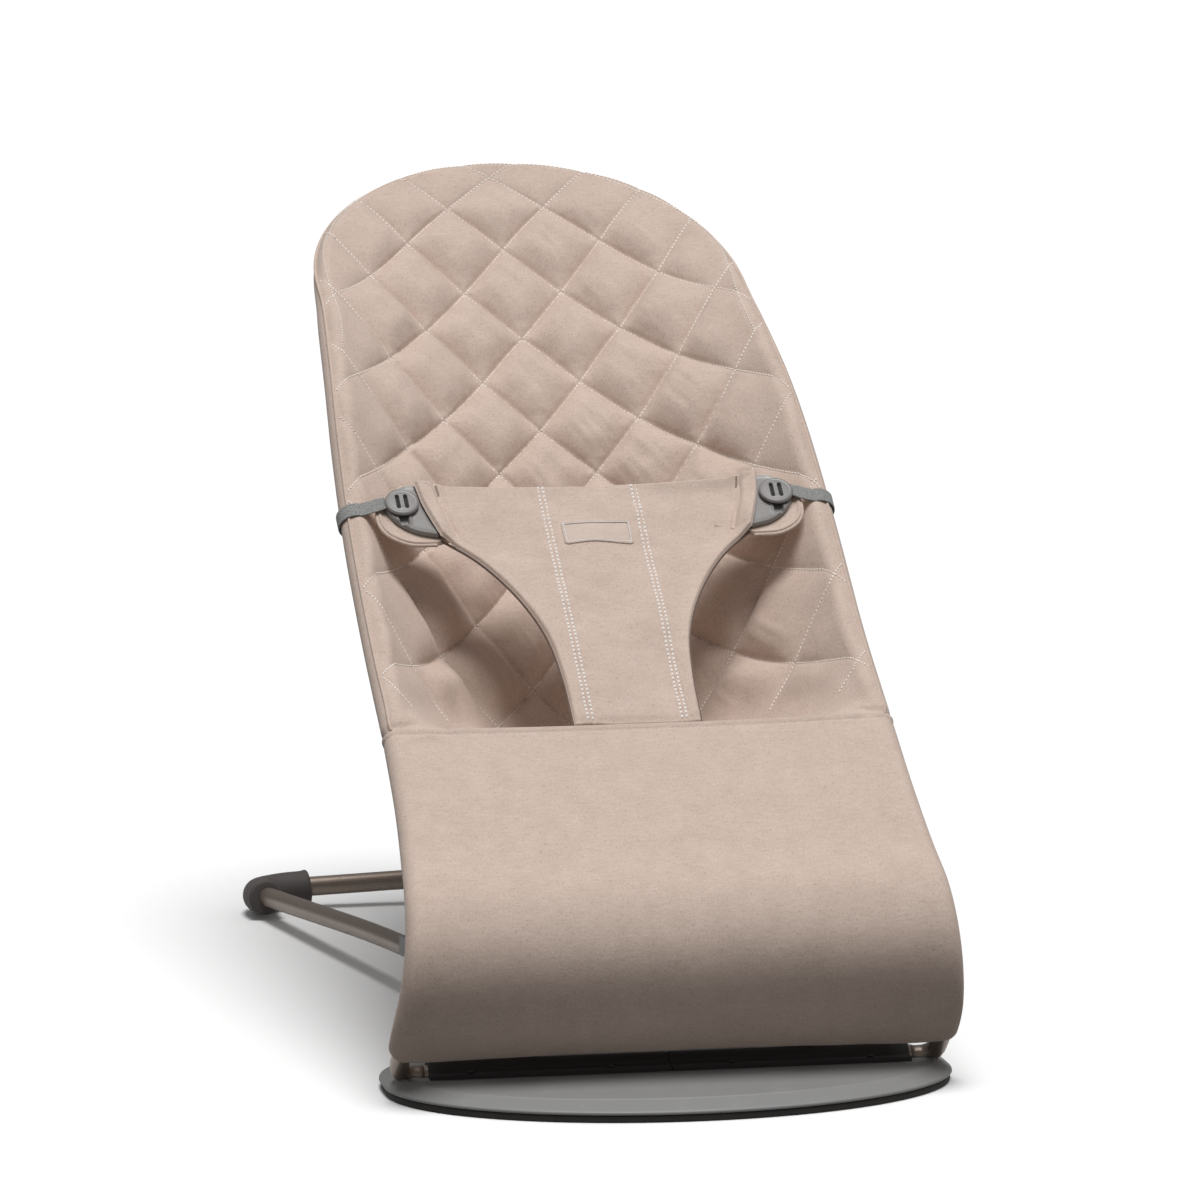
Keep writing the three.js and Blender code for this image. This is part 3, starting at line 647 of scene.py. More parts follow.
def bake(obj):
    """Applies the object's modifiers."""
    graph = bpy.context.evaluated_depsgraph_get()
    mesh = bpy.data.meshes.new_from_object(obj.evaluated_get(graph))
    obj.modifiers.clear()
    obj.data = mesh
    return obj


def thicken(obj, thickness):
    """Gives a sheet its thickness behind its face."""
    solid = obj.modifiers.new("thickness", "SOLIDIFY")
    solid.thickness = thickness * MM
    solid.offset = -1
    return bake(obj)


def build_panel_stitches(material):
    """Topstitching on the panel's face, below its top edge."""
    x = np.linspace(-166, 166, 300)
    s = -SPLIT_GAP - PANEL_STITCH + 0 * x
    w, _, _, ny, nz = carrier(s)
    n = panel_face(x, w) + panel_relief(x, s, ease((w - np.abs(x)) / 12)) + 0.1
    seam = stitch_line(on_rows(x, s, n), np.stack([0 * ny, ny, nz], 1), STITCH_PITCH)
    return dashes("panel_seam_stitches", [seam], material, (2.2, 0.7, 0.4))


# ---- restraint flap
FLAP_Y, FLAP_Z, FLAP_RISE = -169, 231, 0.72
FLAP_END = -3.5  # its lower end, tucked behind the front panel
FLAP_SIDE = [(44, FLAP_END), (45, 41), (50, 82), (64, 121), (86, 156), (109.5, 179)]
FLAP_WING = [(109.5, 179), (114, 194), (118.4, 211), (119.6, 220), (120.8, 228), (123, 237)]
FLAP_MID_TOP = 224
FLAP_CORNER_TOP = 230.5
FLAP_FRONT = 3.4
FLAP_MIDDLE = 1.4
FLAP_LIFT, LIFT_FROM, LIFT_OVER = 3.7, 98, 11  # the wings pass over the keyhole plates
WING_FOLD = 13  # width of the folded hem of a wing
SEAMS = (31.2, 34.4)  # the double contrast stitching, out from the middle
SEAMS_MIDDLE = 32.8
BUTTON_X, BUTTON_S = 132, 212


def on_flap(x, s, n):
    """Point across, up and off the flap's plane."""
    c = 1 / math.hypot(1, FLAP_RISE)
    r = FLAP_RISE * c
    return np.stack([x + 0 * s, FLAP_Y + s * c - n * r + 0 * x, FLAP_Z + s * r + n * c + 0 * x], -1)


FLAP_UP = np.array([0, -FLAP_RISE, 1]) / math.hypot(1, FLAP_RISE)
FLAP_EDGE = spline(FLAP_SIDE, 30)
FLAP_OUTLINE = np.vstack([FLAP_EDGE, spline(FLAP_WING, 12)[1:]])


def flap_half(s):
    """Half width of the flap."""
    return np.interp(s, FLAP_OUTLINE[:, 1], FLAP_OUTLINE[:, 0])


def flap_top(share):
    """Height of its hollow top edge at a share of its half width."""
    return FLAP_MID_TOP + (FLAP_CORNER_TOP - FLAP_MID_TOP) * np.abs(share) ** 1.6


def flap_lift(x):
    """The wings rise over the keyhole plates."""
    return FLAP_LIFT * ease((np.abs(x) - LIFT_FROM) / LIFT_OVER)


def flap_gap(x, s):
    """Rough distance inside the flap's outline."""
    slant = (flap_half(s + 1) - flap_half(s - 1)) / 2
    side = (flap_half(s) - np.abs(x)) / np.sqrt(1 + slant**2)
    return np.minimum(side, flap_top(x / FLAP_WING[-1][0]) - s)


def flap_relief(x, s):
    """Folded edges, creases beside them, puckers along the double stitching and soft waves."""
    out = np.abs(x)
    side = flap_half(s) - out
    edge = flap_gap(x, s)
    fold = 1.4 * bell(np.maximum(edge, 0), 6.5)
    upper = ease((s - 164) / 24)
    crease = -2.6 * bell(side - WING_FOLD, 1.9) * upper
    wing = 1.6 * ease((WING_FOLD + 0.5 - side) / 3) * upper
    seam = 0.35 * bell(out - SEAMS_MIDDLE, 1.0) - 0.7 * sum(bell(out - d, 1.0) for d in SEAMS)
    pucker = noise(x * 2, s, 5, 41) * 0.4 * bell(out - SEAMS_MIDDLE, 8)
    waves = noise(x, s * 0.6, 32, 43) * 2.2 + noise(x * 0.7 + s * 0.4, s, 15, 45) * 0.7
    dent = -3.6 * bell(out - 70, 20) * bell(s - 176, 22)
    belly = 3.5 * (1 - (x / 60) ** 2).clip(0, 1) * np.sin(np.clip(s / 228, 0, 1) * math.pi)
    tuck = -1.4 * ease((4 - s) / 7)
    soft = (waves + dent) * ease(edge / 12)
    return fold + crease + wing + seam + pucker + soft + belly + tuck + flap_lift(x)


def rounded(gap, reach):
    """Height share of a rounded edge: 0 on the outline, 1 past reach."""
    return np.sqrt(1 - (1 - np.clip(gap / reach, 0, 1)) ** 2)


def build_flap(material):
    t = np.linspace(-1, 1, 141)
    u = np.sin(t * math.pi / 2) * 0.55 + t * 0.45
    v = np.r_[np.linspace(0, 0.97, 170), 1 - 0.03 * (1 - np.linspace(0.08, 1, 14)) ** 1.7]
    v, u = np.meshgrid(v, u, indexing="ij")
    s = FLAP_END + v * (flap_top(u) - FLAP_END)
    x = u * flap_half(s)
    height = rounded(flap_gap(x, s), 2.2)
    lift = flap_lift(x)
    middle = FLAP_MIDDLE + lift
    top = on_flap(x, s, middle + (FLAP_FRONT - FLAP_MIDDLE + flap_relief(x, s) - lift) * height)
    bottom = on_flap(x, s, middle - (1.5 - 0.8 * lift / FLAP_LIFT) * height)
    index = np.arange(u.size).reshape(u.shape)
    loop = np.r_[index[0, :-1], index[:-1, -1], index[-1, :0:-1], index[:0:-1, 0]]
    after = np.roll(loop, -1)
    sides = np.stack([loop + u.size, after + u.size, after, loop], 1)
    face = grid_faces(*u.shape)
    points = np.vstack([top.reshape(-1, 3), bottom.reshape(-1, 3)])
    return make("flap_cloth", points, np.vstack([face, face[:, ::-1] + u.size, sides]), material)


def flap_line(x, s, lift):
    """Points and normals just above the flap's face."""
    x, s = np.broadcast_arrays(np.asarray(x, float), np.asarray(s, float))
    line = on_flap(x, s, FLAP_FRONT + flap_relief(x, s) + lift)
    return line, np.broadcast_to(FLAP_UP, line.shape)


def build_flap_stitches(material):
    """Two double rows of light contrast thread."""
    s = np.linspace(FLAP_END + 3, FLAP_MID_TOP, 240)
    seams = [stitch_line(*flap_line(side * d, s, 0.25), 3.7) for side in (1, -1) for d in SEAMS]
    return dashes("flap_contrast_stitches", seams, material, (2.6, 1.7, 0.5))


def build_flap_bartacks(material):
    """Short tacks that hold the folded wings."""
    seams = []
    for side in (1, -1):
        for k in range(6):
            s = np.linspace(217, 219.6, 5) + k * 1.5
            line = flap_line(side * (flap_half(s) - WING_FOLD - 1.5), s, 0.2)
            centres, tangents, normals = stitch_line(*line, 3.4)
            seams.append((centres, unit(np.cross(tangents, normals) + tangents * 0.5), normals))
    return dashes("flap_bar_tacks", seams, material, (2.6, 0.7, 0.3))


def build_flap_binding(name, side, material):
    """Narrow dark binding along the flap's curved side."""
    at = lengths(FLAP_EDGE)
    x, s = between(at, np.linspace(2, at[-1] - 2, 150), FLAP_EDGE).T
    return sweep(f"flap_binding_{name}", on_flap(side * (x + 0.2), s, 0.6), 0.9, material, sides=10)


# ---- small soft and moulded pieces
TONGUE = [(84, 184), (112, 176.5), (131, 178), (145, 188), (149.5, 201), (146, 218), (128, 234), (84, 230)]
PLATE_ROUND = [(110, 182), (126, 187), (139, 199), (144, 212), (140, 224), (128, 230.5)]
PLATE_TOP = 3.6


def closed_outline(points, step):
    """Points step apart round a closed outline."""
    return resample(np.vstack([points, points[:1]]), step)[:-1]


def outline_gap(points, loop):
    """Distance from each point to the outline."""
    gap = ((points.reshape(-1, 1, 2) - loop) ** 2).sum(-1).min(1)
    return np.sqrt(gap).reshape(points.shape[:-1])


def slab(name, loop, side, low, height, material, rings=26):
    """Closed slab on the flap's plane: height(x, s, gap) above low inside an outline."""
    middle = (loop.max(0) + loop.min(0)) / 2
    share = np.sin(np.linspace(0.02, 1, rings) * math.pi / 2) ** 0.9
    grid = middle + share[:, None, None] * (loop - middle)
    gap = outline_gap(grid, loop)
    gap[-1] = 0
    x, s = grid[..., 0], grid[..., 1]
    top = on_flap(side * x, s, low + height(x, s, gap))
    bottom = on_flap(side * x, s, low)[-2::-1]
    layers = [*top, *bottom]
    return loft(name, layers if side > 0 else layers[::-1], material)


TONGUE_CURVE = spline(TONGUE[1:7], 24)  # its ends are straight


def build_tongue(name, side, material):
    loop = np.vstack([TONGUE[:1], TONGUE_CURVE, TONGUE[7:]])
    loop = closed_outline(loop, lengths(np.vstack([loop, loop[:1]]))[-1] / 150)

    def height(x, s, gap):
        wave = noise(x, s, 14, 51) * 0.4
        return rounded(gap, 1.4) * (1.3 + wave * ease(gap / 6) + 1.9 * bell(gap - 1.6, 1.7))

    return slab(f"flap_tongue_{name}_cloth", loop, side, -2.4, height, material)


def build_tongue_piping(name, side, material):
    x, s = resample(TONGUE_CURVE, 1.2).T
    return sweep(f"flap_tongue_piping_{name}", on_flap(side * x, s, -1.6), 1.3, material, sides=10)


KEY_FROM, KEY_TO, KEY_R = 196, 221, 3.3


def slot_gap(x, s, cx, s0, s1):
    """Distance to the middle line of an upright slot."""
    return np.hypot(x - cx, s - np.clip(s, s0, s1))


def build_keyhole_plate(name, side, material):
    corner = (PLATE_ROUND[0][0], PLATE_ROUND[-1][1])
    loop = closed_outline(np.vstack([spline(PLATE_ROUND, 24), corner]), 0.7)

    def height(x, s, gap):
        slot = slot_gap(x, s, BUTTON_X, KEY_FROM, KEY_TO) - KEY_R
        rim = 0.55 * bell(slot - 1.1, 0.7)
        hole = ease(-slot / 0.5)
        dish = 0.7 * bell(gap, 2.2)
        return rounded(gap, 1.3) * (PLATE_TOP - 0.7 + dish + rim) * (1 - hole * 0.85)

    return slab(f"keyhole_plate_{name}_shell", loop, side, 0, height, material, rings=64)


DISC_R = 12
DISC_FACE_R = 10.9
DISC_SLOT_X, DISC_SLOT_HALF, DISC_SLOT_R = 2.9, 5.2, 1.5
DISC_PROFILE = [  # (radius, height) from the rim down to the stem's foot
    (11.2, 6.55), (11.75, 6.2), (12, 5.6), (12, 4.9), (11.8, 4.35), (11.2, 4.05), (8, 4.0), (3.1, 4.0),
    (2.9, 3.8), (2.9, 2.0), (5.6, 1.8), (5.8, 1.6), (5.8, 0.7), (5.6, 0.5), (0.4, 0.5),
]


def disc_top(x, s):
    """Gently domed face with two slots."""
    r = np.hypot(x, s)
    middles = (-DISC_SLOT_X, DISC_SLOT_X)
    slot = np.minimum(*(slot_gap(x, s, middle, -DISC_SLOT_HALF, DISC_SLOT_HALF) for middle in middles))
    groove = ease((DISC_SLOT_R - slot) / 0.4)
    rim = 0.18 * bell(r - 10.3, 0.7)
    bridge = 0.25 * ease((2.2 - np.abs(x)) / 0.5) * ease((DISC_SLOT_HALF - np.abs(s)) / 0.8)
    return 7.0 - 0.45 * (r / DISC_R) ** 4 + rim - 2.5 * groove - bridge


def build_button(name, side, material):
    a = circle(240)
    rings = [(r, disc_top(r * np.cos(a), r * np.sin(a))) for r in np.linspace(0.3, DISC_FACE_R, 64)]
    rings += DISC_PROFILE
    rings = [on_flap(side * BUTTON_X + r * np.cos(a), BUTTON_S + r * np.sin(a), n) for r, n in rings]
    return loft(f"button_{name}_cap", rings[::-1], material)


def build_slot_painted_shade_floor(name, side, middle, material):
    """Dark floor of one of the disc's slots: painted shade for the depth of the slot."""
    a = circle(48)
    x = 1.3 * np.cos(a)
    s = 1.3 * np.sin(a) + 5.1 * np.sign(np.sin(a))
    levels = ((0.15, 4.3), (1, 4.3), (1, 4.8), (0.15, 4.85))
    rings = [on_flap(side * BUTTON_X + middle + x * share, BUTTON_S + s * share, n) for share, n in levels]
    return loft(name, rings, material)


STRAP_MIDDLE, STRAP_HALF = 213, 6
STRAP_THICK = 1.1
STRAP_RIB, STRAP_RIB_ACROSS, STRAP_RIB_ALONG = 0.26, 1.7, 1.6
STRAP_TUBE_X, STRAP_TUBE_N, STRAP_WRAP = 163.2, -12.5, 11.6


def strap_line(side):
    """Middle of the webbing as (x, n), from the button's edge round the padded tube."""
    line = [(143.2, 4.6), (146.5, 3.4), (151, 1.6)]
    for degrees in range(105, -50, -10):
        a = math.radians(degrees)
        line.append((STRAP_TUBE_X + STRAP_WRAP * math.cos(a), STRAP_TUBE_N + STRAP_WRAP * math.sin(a)))
    return resample(spline(line, 8), 0.3) * (side, 1)


def build_strap(name, side, material):
    line = strap_line(side)
    tangent = unit(np.gradient(line, axis=0))
    normal = np.stack([-tangent[:, 1], tangent[:, 0]], 1) * side
    across = np.linspace(-1, 1, 41)
    edge = rounded((1 - np.abs(across)) * STRAP_HALF, 0.6)
    wave = STRAP_RIB * np.sin(across * STRAP_HALF * 2 * math.pi / STRAP_RIB_ACROSS)
    rings = []
    for k, run in enumerate(lengths(line)):
        rib = wave * np.sin(run * 2 * math.pi / STRAP_RIB_ALONG)
        narrow = 1 - 0.1 * ease((6 - run) / 6)
        loop_n = np.r_[(STRAP_THICK / 2 + rib) * edge, -STRAP_THICK / 2 * edge[::-1]]
        loop_s = np.r_[across, across[::-1]] * STRAP_HALF * narrow + STRAP_MIDDLE
        x, n = (line[k] + normal[k] * loop_n[:, None]).T
        rings.append(on_flap(x, loop_s, n))
    return loft(f"side_strap_{name}_webbing", rings if side > 0 else rings[::-1], material)


LABEL_HALF, LABEL_LOW, LABEL_HIGH = 24.6, 165.5, 187.5
LABEL_ROUND = 2.5
LABEL_STITCH_IN = 1.9


def label_corners(inset):
    """Corners of the patch, that far inside its outline."""
    x, low, high = LABEL_HALF - inset, LABEL_LOW + inset, LABEL_HIGH - inset
    return [(x, low), (x, high), (-x, high), (-x, low)]


def build_label(material):
    """Blank woven patch with a raised border."""
    corners = []
    for (cx, cs), start in zip(label_corners(LABEL_ROUND), (-90, 0, 90, 180)):
        a = np.radians(np.arange(start, start + 91, 15))
        corners.append(np.stack([cx + LABEL_ROUND * np.cos(a), cs + LABEL_ROUND * np.sin(a)], 1))

    def height(x, s, gap):
        border = 0.55 * bell(gap - 0.8, 0.7) - 0.3 * bell(gap - 2.6, 0.5)
        return flap_relief(x, s) + FLAP_FRONT - 0.3 + rounded(gap, 0.6) * (0.9 + border)

    loop = closed_outline(np.vstack(corners), 0.8)
    return slab("label_patch_cloth", loop, 1, 0, height, material, rings=40)


def build_label_stitches(material):
    seams = []
    t = np.linspace(0, 1, 60)[:, None]
    corners = np.array(label_corners(LABEL_STITCH_IN))
    for start, end in zip(np.roll(corners, 1, 0), corners):
        seams.append(stitch_line(*flap_line(*(start * (1 - t) + end * t).T, 1.05), 2.0))
    return dashes("label_stitches", seams, material, (1.8, 0.95, 0.3))


# ---- base and tubes
BASE_WIDE_Y = -277
BASE_HALF_WIDTH = 195
BASE_FRONT, BASE_REAR = 118, 108
BASE_TOP = 13
MAT_TOP = 4.8
# (inset, height, inset at the sides where it differs)
BASE_LEVELS = [
    (2.5, 5.2), (1.2, 5.2), (0.4, 5.5), (0, 6.1), (0.1, 6.9), (0.6, 7.7),
    (1.6, 8.1, 1.5), (6, 9.3, 4.2), (12, 11.0, 7.6), (17, 12.35, 10.4),
    (17.9, 12.5, 11), (18.3, 12.95, 11.4), (18.9, BASE_TOP + 0.15, 12),
    (20.5, BASE_TOP + 0.1, 13.5), (40, BASE_TOP + 0.1), (80, BASE_TOP + 0.1, 120),
]
MAT_LEVELS = [
    (3.5, 0), (2.2, 0.05), (1.6, 0.5), (1.3, 1.2), (1.3, 4.0), (1.6, 4.7), (2.6, MAT_TOP), (60, MAT_TOP),
]


def base_ring(inset, z, side_inset=None):
    """The base's outline at height z, drawn in by an inset, and by another one at the sides."""
    side_inset = inset if side_inset is None else side_inset
    a = circle(240)
    rear = a < math.pi
    power = np.where(rear, 2 / 3, 1.0)
    depth = np.where(rear, BASE_REAR, BASE_FRONT) - inset
    x, y = (np.sign(v) * np.abs(v) ** power for v in (np.cos(a), np.sin(a)))
    return np.stack([(BASE_HALF_WIDTH - side_inset) * x, BASE_WIDE_Y + depth * y, z + 0 * a], 1)


RAIL_LINE = [(170, 353, 16), (123, 60, 36), (106, -92, 40), (100, -190, 33), (98, -246, 29)]
CROSS_LINE = [(-143, 382, 15.2), (0, 382, 19), (143, 382, 15.2)]
ELBOW_LINE = [(170.2, 341, 16.6), (171, 358, 14.6), (167.5, 373, 13), (155, 381, 13.2), (132, 382, 15.4)]
ELBOW_R = 13


def mirror(points, side):
    """The points, or their mirror image for the right side."""
    return np.asarray(points, float) * (side, 1, 1)


def build_elbow(name, side, material):
    """Rubber corner foot with a rolled lip at each mouth."""
    line = resample(spline(mirror(ELBOW_LINE, side), 20), 1.0)
    t = np.linspace(0, 1, len(line))
    from_end = np.minimum(t, 1 - t) * lengths(line)[-1]
    lip = 0.9 * bell(from_end, 3) - 1.2 * np.exp(-(from_end / 0.8))
    radius = ELBOW_R - 1 + lip + 0.6 * ease(from_end / 20)
    return sweep(f"rear_foot_{name}_rubber", line, radius, material, sides=40, floor=0)


def head_line():
    """The arched top of the frame, from one collar to the other."""
    a = np.linspace(-0.02, math.pi / 2, 120)
    x, d = head_arch(a[a > 0])
    half = on_head(x, d)[d > 0.3]
    return resample(np.vstack([half, (half * (-1, 1, 1))[::-1][1:]]), 4)


def lower_tube_line():
    """From the hinge bar to the collar."""
    whole = spline(np.vstack([FOOT_LINE, LOWER_CURVE[::16]]), 6)
    at = lengths(whole)
    return resample(whole[at < at[-1] - SPLIT_GAP], 3)


STAY_LEG = [(139, -193, 160.7), (139, -80, 69), (136, -65, 56), (128, -62, 54), (94, -62, 54)]
STAY_WIRE = 4.4


def refined(node, material, bevel):
    """The frame's own piece with its edges softened."""
    obj = bpy.data.objects.new(f"{node}_part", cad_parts[node].data.copy())
    bpy.context.scene.collection.objects.link(obj)
    shape = bmesh.new()
    shape.from_mesh(obj.data)
    bmesh.ops.remove_doubles(shape, verts=shape.verts, dist=0.02 * MM)
    bmesh.ops.dissolve_limit(shape, angle_limit=math.radians(4), verts=shape.verts, edges=shape.edges)
    shape.to_mesh(obj.data)
    shape.free()
    obj.data.materials.clear()
    obj.data.materials.append(material)
    obj.data.polygons.foreach_set("use_smooth", [True] * len(obj.data.polygons))
    edge = obj.modifiers.new("edge", "BEVEL")
    edge.width = bevel * MM
    edge.segments = 3
    edge.limit_method = "ANGLE"
    edge.angle_limit = math.radians(38)
    obj.modifiers.new("normals", "WEIGHTED_NORMAL")
    return bake(obj)


# ---- materials
def linear(rgb):
    """Display colour from 0 to 255 as the linear colour that a shader takes."""
    shares = (value / 255 for value in rgb)
    return (*(c / 12.92 if c <= 0.04045 else ((c + 0.055) / 1.055) ** 2.4 for c in shares), 1.0)


class Nodes:
    """Short way to write a material's node tree."""

    def __init__(self, name):
        self.material = bpy.data.materials.new(name)
        self.material.use_nodes = True
        self.tree = self.material.node_tree
        self.shader = self.tree.nodes["Principled BSDF"]

    def put(self, value, socket):
        """Links another node's output to the socket, or sets its value."""
        if isinstance(value, bpy.types.NodeSocket):
            self.tree.links.new(value, socket)
        else:
            socket.default_value = value

    def add(self, kind, inputs, **settings):
        node = self.tree.nodes.new("ShaderNode" + kind)
        for key, value in settings.items():
            setattr(node, key, value)
        for key, value in inputs.items():
            self.put(value, node.inputs[key])
        return node

    def place(self, stretch=(1, 1, 1)):
        coords = self.add("TexCoord", {}).outputs["Object"]
        return self.add("Mapping", {"Vector": coords, "Scale": stretch}).outputs["Vector"]

    def noise(self, scale, detail=2.0, stretch=(1, 1, 1), roughness=0.5):
        inputs = {"Vector": self.place(stretch), "Scale": scale, "Detail": detail, "Roughness": roughness}
        return self.add("TexNoise", inputs).outputs["Fac"]

    def ramp(self, value, stops):
        node = self.add("ValToRGB", {"Fac": value})
        ramp = node.color_ramp
        while len(ramp.elements) < len(stops):
            ramp.elements.new(0.5)
        for element, (place, color) in zip(ramp.elements, stops):
            element.position = place
            element.color = color
        return node.outputs["Color"]

    def mix(self, share, first, second, blend="MIX"):
        inputs = {0: share, 6: first, 7: second}
        return self.add("Mix", inputs, data_type="RGBA", blend_type=blend).outputs[2]

    def math(self, operation, *values):
        return self.add("Math", dict(enumerate(values)), operation=operation).outputs[0]

    def bump(self, height, distance, strength=1.0, before=None):
        inputs = {"Height": height, "Distance": distance, "Strength": strength}
        if before is not None:
            inputs["Normal"] = before
        return self.add("Bump", inputs).outputs["Normal"]

    def finish(self, **inputs):
        for key, value in inputs.items():
            self.put(value, self.shader.inputs[key.replace("_", " ")])
        return self.material


def grey(value):
    """Linear grey from 0 to 1."""
    return (value, value, value, 1)


def melange_cloth(name, tones, bump=1.0):
    """Heathered woven cotton: pale and dark fibres, faint blotches, a fine weave and a soft sheen."""
    n = Nodes(name)
    fibre = n.noise(950, 3, (1, 0.55, 0.55), 0.65)
    slub = n.noise(420, 2, (0.3, 1.6, 1.6))
    blotch = n.noise(55, 3)
    light, mid, dark = (linear(tone) for tone in tones)
    colour = n.ramp(fibre, [(0.20, dark), (0.46, mid), (0.60, mid), (0.76, light)])
    colour = n.mix(n.ramp(slub, [(0.45, grey(0)), (0.75, grey(0.35))]), colour, light)
    shade = n.ramp(blotch, [(0.3, (0.93, 0.925, 0.92, 1)), (0.7, grey(1))])
    colour = n.mix(1.0, colour, shade, "MULTIPLY")
    weave = n.math("ADD", n.noise(1500, 1, (1, 0.4, 0.4)), n.noise(1500, 1, (0.4, 1, 1)))
    normal = n.bump(weave, 0.00022, 0.55 * bump)
    normal = n.bump(n.noise(150, 3), 0.0007, 0.35 * bump, normal)
    sheen = {"Sheen_Weight": 0.25, "Sheen_Roughness": 0.5, "Sheen_Tint": (1, 0.95, 0.92, 1)}
    return n.finish(Base_Color=colour, Roughness=0.88, Normal=normal, Specular_IOR_Level=0.25, **sheen)


def thread(name, rgb):
    """Sewing thread with a fine twist."""
    colour = linear(rgb)
    n = Nodes(name)
    twist = n.noise(2400, 1, (1, 3, 3))
    tone = n.ramp(twist, [(0.3, (*(c * 0.86 for c in colour[:3]), 1)), (0.7, colour)])
    return n.finish(Base_Color=tone, Roughness=0.6, Normal=n.bump(twist, 0.0001, 0.5), Sheen_Weight=0.2)


def webbing_cloth(name):
    """Grey marled elastic."""
    n = Nodes(name)
    marl = n.noise(1300, 2, (0.5, 2, 2), 0.7)
    tones = (0.32, (92, 92, 91)), (0.5, (138, 138, 136)), (0.68, (176, 176, 173))
    colour = n.ramp(marl, [(place, linear(tone)) for place, tone in tones])
    normal = n.bump(n.noise(1800, 1), 0.0002, 0.6)
    return n.finish(Base_Color=colour, Roughness=0.85, Normal=normal, Sheen_Weight=0.2)


def satin_metal(name, light, dark, roughness, metallic):
    """Powder-coated tube: fine metallic flake, slight handling marks."""
    n = Nodes(name)
    flake = n.noise(2600, 2)
    wear = n.noise(38, 4, (1, 1, 1), 0.6)
    colour = n.mix(n.ramp(flake, [(0.4, grey(0)), (0.65, grey(1))]), linear(dark), linear(light))
    rough = n.math("MULTIPLY_ADD", wear, 0.16, roughness - 0.08)
    normal = n.bump(flake, 0.00006, 0.4)
    return n.finish(Base_Color=colour, Roughness=rough, Metallic=metallic, Normal=normal)


def moulded(name, base, pale, roughness, grain=0.0001, scale=1700):
    """Matt moulded plastic or rubber: spark grain, faint scuffs and dust."""
    n = Nodes(name)
    fine = n.noise(scale, 2)
    scuff = n.noise(60, 5, (1, 0.6, 1), 0.7)
    dust = n.ramp(scuff, [(0.55, grey(0)), (0.8, grey(0.5))])
    colour = n.mix(dust, linear(base), linear(pale))
    rough = n.math("MULTIPLY_ADD", scuff, 0.18, roughness - 0.09)
    return n.finish(Base_Color=colour, Roughness=rough, Normal=n.bump(fine, grain, 0.5))


# Display colours from pale to dark.
CLOTH_TONES = (220, 202, 190), (203, 183, 170), (166, 144, 131)
LABEL_TONES = (217, 201, 191), (205, 187, 175), (186, 167, 155)
BINDING_TONES = (132, 112, 100), (104, 87, 78), (84, 70, 63)

quilted = melange_cloth("quilted_cotton", CLOTH_TONES)
plain = melange_cloth("plain_cotton", CLOTH_TONES, 0.8)
label_weave = melange_cloth("label_weave", LABEL_TONES, 0.6)
binding = melange_cloth("dark_binding", BINDING_TONES, 0.6)
quilt_thread = thread("quilting_thread", (250, 240, 231))
contrast_thread = thread("contrast_thread", (246, 242, 238))
tack_thread = thread("tack_thread", (150, 128, 116))
webbing = webbing_cloth("marled_webbing")
tube_paint = satin_metal("taupe_tube_paint", (164, 150, 139), (126, 113, 103), 0.42, 0.6)
steel = satin_metal("satin_steel", (196, 196, 194), (160, 160, 158), 0.3, 1.0)
plate_plastic = moulded("plate_plastic", (133, 133, 132), (145, 145, 144), 0.52)
# near-black plastic for the hinge caps: painted shade, so the caps read as the shadowed gap under the
# panel's hem
hinge_painted_shade_plastic = moulded("hinge_painted_shade_plastic", (44, 42, 41), (56, 54, 52), 0.75)
button_plastic = moulded("button_plastic", (130, 127, 125), (150, 147, 145), 0.32, 0.00006, 2200)
# dark rubber: the base mat's own colour, and painted shade on the cap screws and on the floors of the
# button slots
mat_rubber = moulded("mat_rubber", (46, 43, 41), (70, 66, 63), 0.8)
foot_rubber = moulded("foot_rubber", (86, 81, 79), (108, 103, 100), 0.7)


# ---- putting it together
def piece(obj, body, slot, *nodes):
    """The piece rides on a body and stands for CAD nodes, which it hides. The slot is not used."""
    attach(obj, body)
    if nodes:
        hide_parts(*nodes)
    return obj


def add_seat_cloth():
    quilt = piece(build_quilt(quilted), "seat", "quilted_cloth", "quilted_seat")
    back = piece(build_back(plain), "seat", "quilted_cloth")
    piece(build_piping(plain), "seat", "quilted_cloth")
    for build in (build_quilt_stitches, build_head_stitches):
        piece(build(quilt_thread), "seat", "quilted_cloth")


def add_front_panel():
    panel = piece(build_front_panel(plain), "lower_frame", "plain_cloth", "front_panel")
    stitches = piece(build_panel_stitches(quilt_thread), "lower_frame", "plain_cloth")


def add_flap():
    flap = piece(build_flap(plain), "seat", "plain_cloth", "restraint_flap")
    trims = [build_flap_stitches(contrast_thread), build_flap_bartacks(tack_thread)]
    for trim in trims:
        piece(trim, "seat", "plain_cloth")
    for name, side in SIDES:
        trims.append(piece(build_flap_binding(name, side, binding), "seat", "plain_cloth"))
        tongue = piece(build_tongue(name, side, plain), "seat", "plain_cloth", f"flap_tongue_{name}")
        piece(build_tongue_piping(name, side, plain), "seat", "plain_cloth")
    label = piece(build_label(label_weave), "seat", "label_cloth", "label_patch")
    piece(build_label_stitches(contrast_thread), "seat", "label_cloth")


def add_buttons():
    for name, side in SIDES:
        plate = build_keyhole_plate(name, side, button_plastic)
        piece(plate, "seat", "button_plastic", f"keyhole_plate_{name}")
        button = build_button(name, side, button_plastic)
        piece(button, f"{name}_button", "button_plastic", f"button_{name}")
        # each slot gets a dark rubber floor as painted shade
        for place, middle in (("near", -DISC_SLOT_X), ("far", DISC_SLOT_X)):
            floor = build_slot_painted_shade_floor(f"button_{name}_slot_{place}", side, middle, mat_rubber)
            piece(floor, f"{name}_button", "button_plastic")
        strap = build_strap(name, side, webbing)
        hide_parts(f"side_strap_{name}")
        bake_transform(strap)


